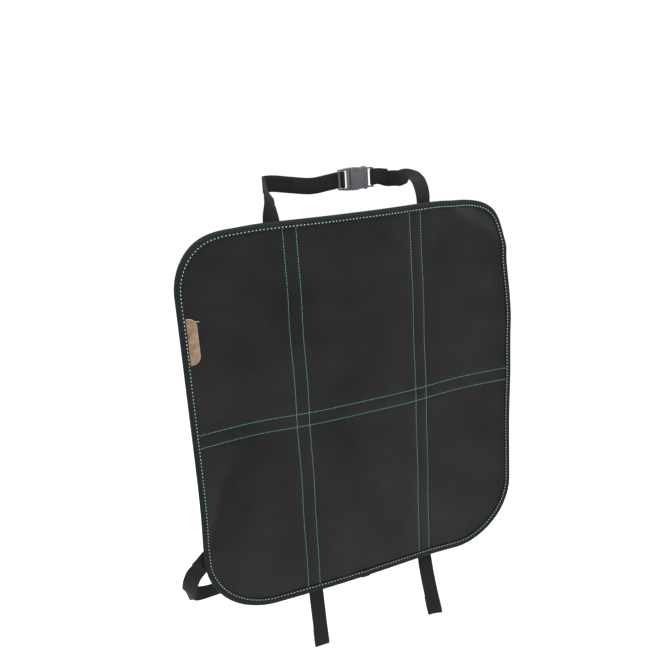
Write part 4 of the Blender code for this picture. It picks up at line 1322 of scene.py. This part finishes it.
@dataclass(frozen=True)
class Webbing:
    """Flat woven strap, laid along stations of a centre and a direction across.

    Attributes:
        width: The strap's width.
        thickness: Its thickness.
        step: Distance between its rings on long stretches.
        edge_steps: Straight pieces in each rounded edge.
        face_steps: Strips across each face.
    """

    width: float = 20.0 * MM
    thickness: float = 1.3 * MM
    step: float = 2.5 * MM
    edge_steps: int = 4
    face_steps: int = 4

    @property
    def half(self) -> float:
        """Half its thickness."""
        return self.thickness / 2

    def section(self) -> list[Point]:
        """Return its section as (across, through) points with round edges."""
        flat = self.width / 2 - self.half
        points = []
        for side in (1, -1):
            for i in range(self.face_steps):
                points.append((side * (-flat + 2 * flat * i / self.face_steps), -side * self.half))
            for i in range(self.edge_steps):
                angle = -0.5 * math.pi + math.pi * i / self.edge_steps
                out, through = self.half * math.cos(angle), self.half * math.sin(angle)
                points.append((side * (flat + out), side * through))
        return points

    def route(self, stations: list[Station]) -> list[Station]:
        """Run a smooth curve through the stations."""
        route, last = [], len(stations) - 1
        for i in range(last):
            before, start = stations[max(i - 1, 0)], stations[i]
            end, after = stations[i + 1], stations[min(i + 2, last)]
            span = (end[0] - start[0]).length
            lead_in = tangent(before[0], start[0], end[0]) * span
            lead_out = tangent(start[0], end[0], after[0]) * span
            steps = max(1, math.ceil(span / self.step))
            for step in range(steps):
                f = step / steps
                centre = (
                    (2 * f**3 - 3 * f**2 + 1) * start[0] + (f**3 - 2 * f**2 + f) * lead_in
                    + (3 * f**2 - 2 * f**3) * end[0] + (f**3 - f**2) * lead_out
                )
                route.append((centre, start[1].lerp(end[1], f)))
        return [*route, stations[-1]]

    def build(self, name: str, stations: list[Station]) -> bpy.types.Object:
        """Return a strap along the stations."""
        route, section = self.route(stations), self.section()
        rings = []
        for i, (centre, across) in enumerate(route):
            along = tangent(route[max(i - 1, 0)][0], centre, route[min(i + 1, len(route) - 1)][0])
            across = (across - along * across.dot(along)).normalized()
            through = along.cross(across)
            rings.append([centre + across * a + through * b for a, b in section])
        return swept_skin(name, np.array(rings), closed=False, sharp=60.0)


def tangent(before: Vector, here: Vector, after: Vector) -> Vector:
    """Return the unit direction of a route at a point, weighted towards its shorter side."""
    back, ahead = here - before, after - here
    if back.length < 1e-9:
        return ahead.normalized()
    if ahead.length < 1e-9:
        return back.normalized()
    return (back.normalized() * ahead.length + ahead.normalized() * back.length).normalized()


def arc(middle: Point, radius: float, start: float, end: float, segments: int = 4) -> list[Point]:
    """Return the points of an arc, its angles in degrees."""
    angles = [math.radians(start + (end - start) * step / segments) for step in range(segments + 1)]
    return [(middle[0] + radius * math.cos(a), middle[1] + radius * math.sin(a)) for a in angles]


@dataclass(frozen=True)
class BuckleFit:
    """How webbing threads a side-release buckle, measured along it from the socket's mouth.

    Attributes:
        webbing: The strap.
        prefix: Start of the buckle's node names.
        flipped: Whether its back faces -Y.
        play: Room between strap layers.
        mouth_gap, base, inner_play, bar, outer_play, outer_bar: The plug's ladder, from the mouth out.
        tail_bar: Where the socket's tail bar lies.
        tail_radius: The bar's radius.
        tail_end: How far the socket reaches past the bar.
        free_tail: Length of the adjuster's loose end.
        sewn_tail: Length of the sewn end.
    """

    webbing: Webbing
    prefix: str
    flipped: bool
    play: float = 0.3 * MM
    mouth_gap: float = 0.5 * MM
    base: float = 2.6 * MM
    inner_play: float = 3.4 * MM
    bar: float = 2.0 * MM
    outer_play: float = 1.6 * MM
    outer_bar: float = 2.2 * MM
    tail_bar: float = 31.5 * MM
    tail_radius: float = 1.2 * MM
    tail_end: float = 1.8 * MM
    free_tail: float = 52.0 * MM
    sewn_tail: float = 12.0 * MM

    @property
    def layer(self) -> float:
        """Distance between the middles of two strap layers."""
        return self.webbing.thickness + self.play

    @property
    def frame(self) -> Matrix:
        """Return the buckle's own axes, at its mouth, in the frame."""
        low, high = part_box(self.prefix + "_socket")
        turn = Matrix.Rotation(math.pi, 4, "X") if self.flipped else Matrix.Identity(4)
        return Matrix.Translation((low.x, (low.y + high.y) / 2, (low.z + high.z) / 2)) @ turn

    def ladder(self) -> list[Point]:
        """Return the path through the plug's ladder: in below, over the bar and back out."""
        half = self.webbing.half
        bend = half + self.play + 0.05 * MM
        bar_end = -self.mouth_gap - self.base - 2 * bend - self.inner_play
        bar_start = bar_end - self.bar
        start = bar_start - 2 * bend - self.outer_play - self.outer_bar
        over = -(bend + 0.1 * MM) - half - self.play
        lead = self.webbing.width / 2
        return [
            (start - lead, self.layer),
            (start, self.layer),
            *arc((bar_end, self.layer - bend), bend, 90, 0),
            *arc((bar_end, over + bend), bend, 0, -90),
            *arc((bar_start, over + bend), bend, -90, -180),
            *arc((bar_start - 2 * bend, -bend), bend, 0, 90),
            (start - lead, 0.0),
            (start - self.free_tail, 0.0),
        ]

    def tail_loop(self) -> list[Point]:
        """Return the path round the socket's tail bar, ending in the sewn tail."""
        radius = self.tail_radius + self.play + self.webbing.half
        flat = self.layer / 2
        join = self.tail_bar + self.tail_end + 3 * radius
        loop = arc((self.tail_bar, 0.0), radius, 90, 270, 8)
        return [(join, flat), *loop, (join, -flat), (join + self.sewn_tail, -flat)]

    def stations(self, path: list[Point], across: Vector) -> list[Station]:
        """Place a path of the buckle's own section in the frame."""
        return [(self.frame @ Vector((x, y, 0.0)), across) for x, y in path]


def by_side(left: float | Point, right: float | Point) -> dict:
    """Return a dataclass field that holds one value for each side.

    Args:
        left: The value on the left.
        right: The value on the right.

    Returns:
        The field, typed as the dictionary that each object gets from it.
    """
    return field(default_factory=lambda: {Side.LEFT: left, Side.RIGHT: right})


@dataclass
class Straps:
    """The six lengths of webbing that hold the mat.

    Attributes:
        shape: The mat's shape.
        webbing: The strap material's sizes.
        sewn: Length sewn to the mat's back.
        top_centre: Place of the top straps, across the mat.
        loop_half: Half the distance between the upper loop's turns.
        loop_radius: Radius that those turns go round.
        loop_play: Room round it.
        loop_lift: Height of each turn over the upper buckle.
        loop_sag: Places across the mat, and heights there, where the loop's slack side hangs.
        shoulder_rise: Height over the upper loop that the top straps' rows are shares of.
        side_drop: Height of the side straps over the mat's bottom.
        side_slope: Their fall for each step outwards.
        belt_corner: Size of the lower loop's front corners.
        overhang: How far each side strap lies flat past the edge.
        bottom_place: Place of each bottom strap, across the mat.
        bottom_length: Length of the bottom straps.
        bottom_hem: Length of their folded ends.
        lean: How far each bottom strap leans out, at its top and at its end.
        bottom_turn: How far each bottom strap twists, in radians.
        socket_lift, plug_sag: Shares of the loop's lift and sag that reach the upper buckle's two ends.
        box_margin: Room between a sewn box and the strap's edge and end.
        box_stitch: The stitch of the sewn boxes.
    """

    shape: MatShape
    webbing: Webbing
    sewn: float = 28.0 * MM
    top_centre: float = 0.101
    loop_half: float = 0.0825
    loop_radius: float = 6.5 * MM
    loop_play: float = 1.5 * MM
    loop_lift: dict[Side, float] = by_side(4.7 * MM, -4.5 * MM)
    loop_sag: tuple[Point, ...] = ((-0.052, 0.3 * MM), (-0.026, -3.4 * MM))
    shoulder_rise: float = 5.0 * MM
    side_drop: float = 0.090
    side_slope: float = 0.60
    belt_corner: float = 24.0 * MM
    overhang: dict[Side, float] = by_side(4.7 * MM, -8.0 * MM)
    bottom_place: dict[Side, float] = by_side(-0.0788, 0.0873)
    bottom_length: float = 0.0805
    bottom_hem: float = 0.024
    lean: dict[Side, Point] = by_side((0.12, 0.14), (0.22, 0.44))
    bottom_turn: dict[Side, float] = by_side(0.0, -0.28)
    socket_lift: float = 0.4
    plug_sag: float = 0.35
    box_margin: Point = (2.5 * MM, 4.0 * MM)
    box_stitch: StitchRun = StitchRun(pitch=3.0 * MM, length=2.5 * MM, width=0.7 * MM, rise=0.8 * MM)

    @property
    def depth(self) -> float:
        """Depth of a strap's middle on the mat's back, clear of the binding."""
        shape = self.shape
        return shape.back + shape.gap + shape.binding + shape.gap + self.webbing.half

    def on_mat(self, u: float, v: float, turn: float = 0.0) -> Station:
        """Return a station on the mat's back, its width turned from level by an angle."""
        reach = self.webbing.width / 2
        du, dv = reach * math.cos(turn), reach * math.sin(turn)
        across = self.shape.worn(u + du, v + dv, self.depth) - self.shape.worn(u - du, v - dv, self.depth)
        return Vector(self.shape.worn(u, v, self.depth)), Vector(across).normalized()

    def box_paths(self, u: float, v: float, turn: float) -> list[tuple[np.ndarray, np.ndarray, bool]]:
        """Return a sewn box with a cross in it, on the back of a strap's sewn end.

        Args:
            u: Middle of the sewn end, across the mat.
            v: Middle of the sewn end, up the mat.
            turn: Angle of the strap's width from level.
        """
        side_room, end_room = self.box_margin
        half_across, half_along = self.webbing.width / 2 - side_room, self.sewn / 2 - end_room
        corners = [(-half_across, -half_along), (half_across, -half_along), (half_across, half_along),
                   (-half_across, half_along)]
        runs = [(corners[i], corners[(i + 1) % 4]) for i in range(4)]
        runs += [(corners[0], corners[2]), (corners[1], corners[3])]
        paths = []
        for start, end in runs:
            share = np.linspace(0, 1, 12)[:, None]
            a, b = (np.array(start) * (1 - share) + np.array(end) * share).T
            flat_u = u + a * math.cos(turn) - b * math.sin(turn)
            flat_v = v + a * math.sin(turn) + b * math.cos(turn)
            path = self.shape.worn(flat_u, flat_v, self.depth + self.webbing.half)
            paths.append((path, np.tile((0.0, 1.0, 0.0), (len(path), 1)), False))
        return paths

    def top(self, side: Side, buckle: BuckleFit) -> list[Station]:
        """Return a top strap's stations: up behind the binding, over, round and to the buckle."""
        sign, top = side.value, self.shape.height / 2
        u = sign * self.top_centre
        stations = [self.on_mat(u, top - back) for back in (self.sewn, self.sewn / 2, 0.0)]
        stations = [(centre, sign * across) for centre, across in stations]
        start = stations[-1][0]
        wrap = self.loop_radius + self.loop_play + self.webbing.half
        run, rise = -start.y, self.shoulder_rise - start.z
        reach = self.top_centre - self.loop_half - wrap
        # Each row: share of the way in to the loop, forward and up, then the width's direction
        free = {
            Side.LEFT: (
                (0.02, 0.02, 0.25, (-1.00, -0.25, 0.00)),
                (0.10, 0.06, 0.55, (-0.80, -0.60, 0.05)),
                (0.30, 0.20, 0.80, (-0.70, -0.50, 0.45)),
                (0.62, 0.46, 0.89, (-0.45, -0.20, 0.85)),
                (0.92, 0.76, 0.95, (-0.10, -0.05, 1.00)),
            ),
            Side.RIGHT: (
                (0.00, 0.03, 0.25, (1.00, 0.05, 0.00)),
                (0.00, 0.11, 0.49, (1.00, 0.00, 0.02)),
                (-0.10, 0.28, 0.68, (1.00, 0.00, 0.05)),
                (-0.22, 0.50, 0.79, (0.99, 0.00, 0.15)),
                (-0.10, 0.70, 0.83, (0.85, 0.00, 0.52)),
                (0.55, 0.87, 0.80, (0.35, 0.00, 0.93)),
            ),
        }
        for inward, forward, upward, across in free[side]:
            x = sign * (self.top_centre - inward * reach)
            centre = Vector((x, start.y + forward * run, start.z + upward * rise))
            stations.append((centre, Vector(across).normalized()))
        upright = Vector((0.0, 0.0, 1.0))
        lift = self.loop_lift[side]
        for x, y in arc((self.loop_half, 0.0), wrap, 0, 90):
            stations.append((Vector((sign * x, y, lift)), upright))
        if side is Side.RIGHT:
            *sewn, (end, _) = buckle.stations(buckle.tail_loop(), upright)
            return [*stations, *sewn, (end + Vector((0.0, 0.0, self.socket_lift * lift)), upright)]
        ladder = buckle.stations(buckle.ladder()[:-1], upright)
        entry = ladder[0][0].copy()
        for point in (ladder[0][0], ladder[-1][0]):
            point.z += self.plug_sag * self.loop_sag[-1][1]
        band = []
        for x, height in self.loop_sag:
            share = (x + self.loop_half) / (entry.x + self.loop_half)
            band.append(Vector((x, wrap + share * (entry.y - wrap), height)))
        tail = [(point - Vector((0.0, buckle.layer, 0.0)), upright) for point in reversed(band)]
        return [*stations, *((point, upright) for point in band), *ladder, *tail]

    def belt(self, side: Side, buckle: BuckleFit) -> list[Station]:
        """Return a side strap's stations: from the mat's back round to the lower buckle."""
        half, corner, overhang = self.shape.width / 2, self.belt_corner, self.overhang[side]
        slope = math.atan(self.side_slope)
        edge_v = -self.shape.height / 2 + self.side_drop
        stations = []
        for share in (1.0, 0.5, 0.08, 0.0):
            back = self.sewn * share - overhang
            u, v = half - back * math.cos(slope), edge_v + back * math.sin(slope)
            stations.append(self.on_mat(-u, v, slope + 0.5 * math.pi))
        edge = stations[-1][0]
        mouth = buckle.frame.translation
        forward, fall = mouth.y - edge.y, edge.z - mouth.z
        tilt = Vector((-math.sin(slope), 0.0, math.cos(slope)))
        along_side = Vector((0.0, math.sin(slope), math.cos(slope)))
        level = Vector((0.0, 0.0, 1.0))
        # Each row: place outside the edge, share of the way forward and down, then the width's direction
        free = {
            Side.LEFT: (
                (6.0 * MM, 0.026, 0.062, Vector((-0.52, 0.16, 0.84))),
                (11.2 * MM, 0.046, 0.112, Vector((-0.60, 0.34, 0.72))),
                (16.2 * MM, 0.098, 0.228, Vector((-0.72, 0.45, 0.52))),
                (16.8 * MM, 0.174, 0.355, Vector((-0.68, 0.50, 0.53))),
                (14.0 * MM, 0.360, 0.500, Vector((-0.30, 0.55, 0.78))),
                (6.0 * MM, 0.620, 0.650, along_side),
            ),
            Side.RIGHT: (
                (-3.8 * MM, 0.05, 0.02, tilt.lerp(along_side, 0.5)),
                (-6.0 * MM, 0.14, 0.11, tilt.lerp(along_side, 0.9)),
                (-6.5 * MM, 0.32, 0.33, along_side),
                (-4.0 * MM, 0.56, 0.54, along_side),
            ),
        }
        front = (
            (-0.12 * corner, 0.80, 0.80, along_side.lerp(level, 0.2)),
            (-1.00 * corner, 0.96, 0.97, along_side.lerp(level, 0.7)),
            (-2.25 * corner, 1.00, 1.00, level),
            (-half / 2, 1.00, 1.00, level),
        )
        for outside, ahead, down, across in free[side] + front:
            centre = Vector((-half - outside, edge.y + ahead * forward, edge.z - down * fall))
            stations.append((centre, across.normalized()))
        if side is Side.RIGHT:
            mirror = Matrix.Diagonal((-1.0, 1.0, 1.0))
            stations = [(mirror @ centre, mirror @ across) for centre, across in stations]
        path = buckle.ladder() if side is Side.LEFT else buckle.tail_loop()
        return stations + buckle.stations(path, level)

    def bottom(self, side: Side) -> list[Station]:
        """Return a bottom strap's stations: down from behind the edge to a folded hem."""
        u, bottom, (first_lean, lean) = self.bottom_place[side], -self.shape.height / 2, self.lean[side]
        stations = [self.on_mat(u, bottom + back) for back in (self.sewn, self.sewn / 2, 0.0)]
        start, across = stations[-1]
        across = Matrix.Rotation(self.bottom_turn[side], 3, "Z") @ across
        drop, layer = self.bottom_length, self.webbing.thickness + self.shape.gap
        plain = drop - self.bottom_hem
        for share in (0.15, 0.45, 1.0):
            swing = first_lean + (lean - first_lean) * share / 2
            stations.append((start + Vector((0.0, -swing, -1.0)) * plain * share, across))
        fold = stations[-1][0]
        down = Vector((0.0, -lean, -1.0)).normalized()
        behind = Vector((0.0, 1.0, -lean)).normalized()
        for x, y in arc((self.bottom_hem, layer / 2), layer / 2, -90, 90, 8):
            stations.append((fold + down * x + behind * y, across))
        return [*stations, (fold + behind * layer, across)]

    def build(self, finish: bpy.types.Material, thread: bpy.types.Material, upper: BuckleFit,
              lower: BuckleFit) -> None:
        """Build and dress the six straps and the boxes that sew them on.

        Args:
            finish: The webbing's material.
            thread: Thread of the sewn boxes.
            upper: How the upper buckle takes its straps.
            lower: The same for the lower buckle.
        """
        boxes = []
        slope = math.atan(self.side_slope)
        for side in Side:
            label = side.name.lower()
            for node, stations in (
                ("top_strap_" + label, self.top(side, upper)),
                ("side_strap_" + label, self.belt(side, lower)),
                ("bottom_strap_" + label, self.bottom(side)),
            ):
                strap = self.webbing.build(node.replace("strap", "webbing"), stations)
                dress(strap, finish, "webbing", node)
            sign, half_v = side.value, self.shape.height / 2
            boxes += self.box_paths(sign * self.top_centre, half_v - self.sewn / 2, 0.0)
            boxes += self.box_paths(self.bottom_place[side], self.sewn / 2 - half_v, 0.0)
            back = self.sewn / 2 - self.overhang[side]
            side_u = self.shape.width / 2 - back * math.cos(slope)
            side_v = self.side_drop - half_v + back * math.sin(slope)
            boxes += self.box_paths(sign * side_u, side_v, -sign * (slope + 0.5 * math.pi))
        sewn = self.box_stitch.lay("strap_box_stitches", boxes, thread)
        dress(sewn, thread, "webbing")


@dataclass
class Studio:
    """A plain white studio, and the camera at the picture's angle.

    Attributes:
        camera: The camera's place.
        yaw: Angle of its view, clockwise from +Y seen from above, in degrees.
        pitch: Angle of its view below level, in degrees.
        roll: Its turn about its own view, in degrees.
        lens: Its focal length in mm on a 36 mm sensor.
        floor_drop: How far the floor lies under the lowest strap.
        floor_size: The floor's width.
        surround: Strength of the even light from all round.
    """

    camera: Place = (-0.4216, -0.9341, 0.1201)
    yaw: float = 23.83
    pitch: float = 17.18
    roll: float = 3.18
    lens: float = 44.42
    floor_drop: float = 0.16
    floor_size: float = 14.0
    surround: float = 1.10

    def build(self, paper: bpy.types.Material) -> None:
        """Set up the floor, the light and the camera."""
        self.add_floor(paper)
        self.add_lights()
        self.add_camera()

    def add_floor(self, paper: bpy.types.Material) -> None:
        """Lay the floor under the straps."""
        bm = bmesh.new()
        bmesh.ops.create_grid(bm, x_segments=2, y_segments=2, size=self.floor_size / 2)
        bmesh.ops.translate(bm, verts=bm.verts[:], vec=(0.0, 0.0, CAD_BOUNDS[0].z - self.floor_drop))
        floor = to_object("studio_floor", bm)
        floor.data.materials.append(paper)

    def add_lights(self) -> None:
        """Add an even white surround and three large soft lamps."""
        world = bpy.data.worlds.new("studio_surround")
        world.use_nodes = True
        surround = world.node_tree.nodes["Background"]
        surround.inputs["Color"].default_value = (1.0, 1.0, 1.0, 1.0)
        surround.inputs["Strength"].default_value = self.surround
        bpy.context.scene.world = world
        # Each row: name, place, what it points at, width, height, power
        lamps = (
            ("key_lamp", (1.50, -0.95, 0.45), (0.0, -0.05, -0.12), 0.7, 1.3, 6.5),
            ("fill_lamp", (-1.6, -1.0, 0.6), (0.0, -0.05, -0.25), 1.2, 1.2, 4.0),
            ("top_lamp", (-0.2, -0.35, 1.1), (0.0, -0.05, 0.0), 0.6, 0.6, 20.0),
        )
        for name, place, target, width, height, power in lamps:
            data = bpy.data.lights.new(name, "AREA")
            data.shape = "RECTANGLE"
            data.size, data.size_y = width, height
            data.energy = power
            lamp = add_object(name, data)
            lamp.location = place
            way = Vector(target) - Vector(place)
            lamp.rotation_euler = way.to_track_quat("-Z", "Y").to_euler()
        bpy.context.scene.view_settings.view_transform = "Standard"

    def add_camera(self) -> None:
        """Add the camera at the picture's viewing angle."""
        data = bpy.data.cameras.new("camera")
        data.lens = self.lens
        camera = add_object("camera", data)
        yaw, pitch = math.radians(self.yaw), math.radians(self.pitch)
        view = Vector((math.sin(yaw) * math.cos(pitch), math.cos(yaw) * math.cos(pitch), -math.sin(pitch)))
        turn = Quaternion(view, math.radians(self.roll)) @ view.to_track_quat("-Z", "Y")
        camera.rotation_mode = "QUATERNION"
        camera.rotation_quaternion = turn
        camera.location = self.camera
        bpy.context.scene.camera = camera


def dress_buckles(plastic: bpy.types.Material) -> None:
    """Give the frame's four buckle solids their moulded finish."""
    for prefix in ("top_buckle", "lower_buckle"):
        for part in ("plug", "socket"):
            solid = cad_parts[f"{prefix}_{part}"]
            solid.material_slots[0].material = plastic
            log.info("%s: moulded finish", solid.name)


def main() -> None:
    """Build every piece of the protector and the studio round it."""
    logging.basicConfig(level=logging.INFO, format="%(name)s: %(message)s")
    shape = MatShape()
    leather = FauxLeather().build()
    foam = OpenFoam().build()
    cloth = Weave("woven_polyester_lining", "#17181A", "#2A2C2E", 0.9 * MM, 0.9 * MM, 0.12 * MM).build()
    tape = Weave("woven_polyester_tape", "#0D0F0F", "#1D2121", 1.1 * MM, 0.8 * MM, 0.15 * MM).build()
    strap = Weave("polypropylene_webbing", "#0C0C0C", "#20201F", 1.5 * MM, 1.0 * MM, 0.22 * MM,
                  sheen=0.02).build()
    teal = Thread("teal_polyester_thread", "#2B5F57", "#55938A").build()
    pale = Thread("pale_teal_polyester_thread", "#62877E", "#A3C0B8").build()
    black = Thread("black_polyester_thread", "#141415", "#2C2C2D").build()
    tan = TanLeather().build()
    plastic = MouldedAcetal().build()

    QuiltedMat(shape).build(leather, foam, cloth)
    tab = SideTab(shape)
    tab.build(tan, pale)
    binding = EdgeBinding(shape, tab)
    binding.build(tape)
    Seams(shape, binding).build(teal, pale)
    webbing = Webbing()
    upper = BuckleFit(webbing, "top_buckle", flipped=False)
    lower = BuckleFit(webbing, "lower_buckle", flipped=True)
    Straps(shape, webbing).build(strap, black, upper, lower)
    dress_buckles(plastic)
    Studio().build(StudioPaper().build())


if __name__ == "__main__":
    main()
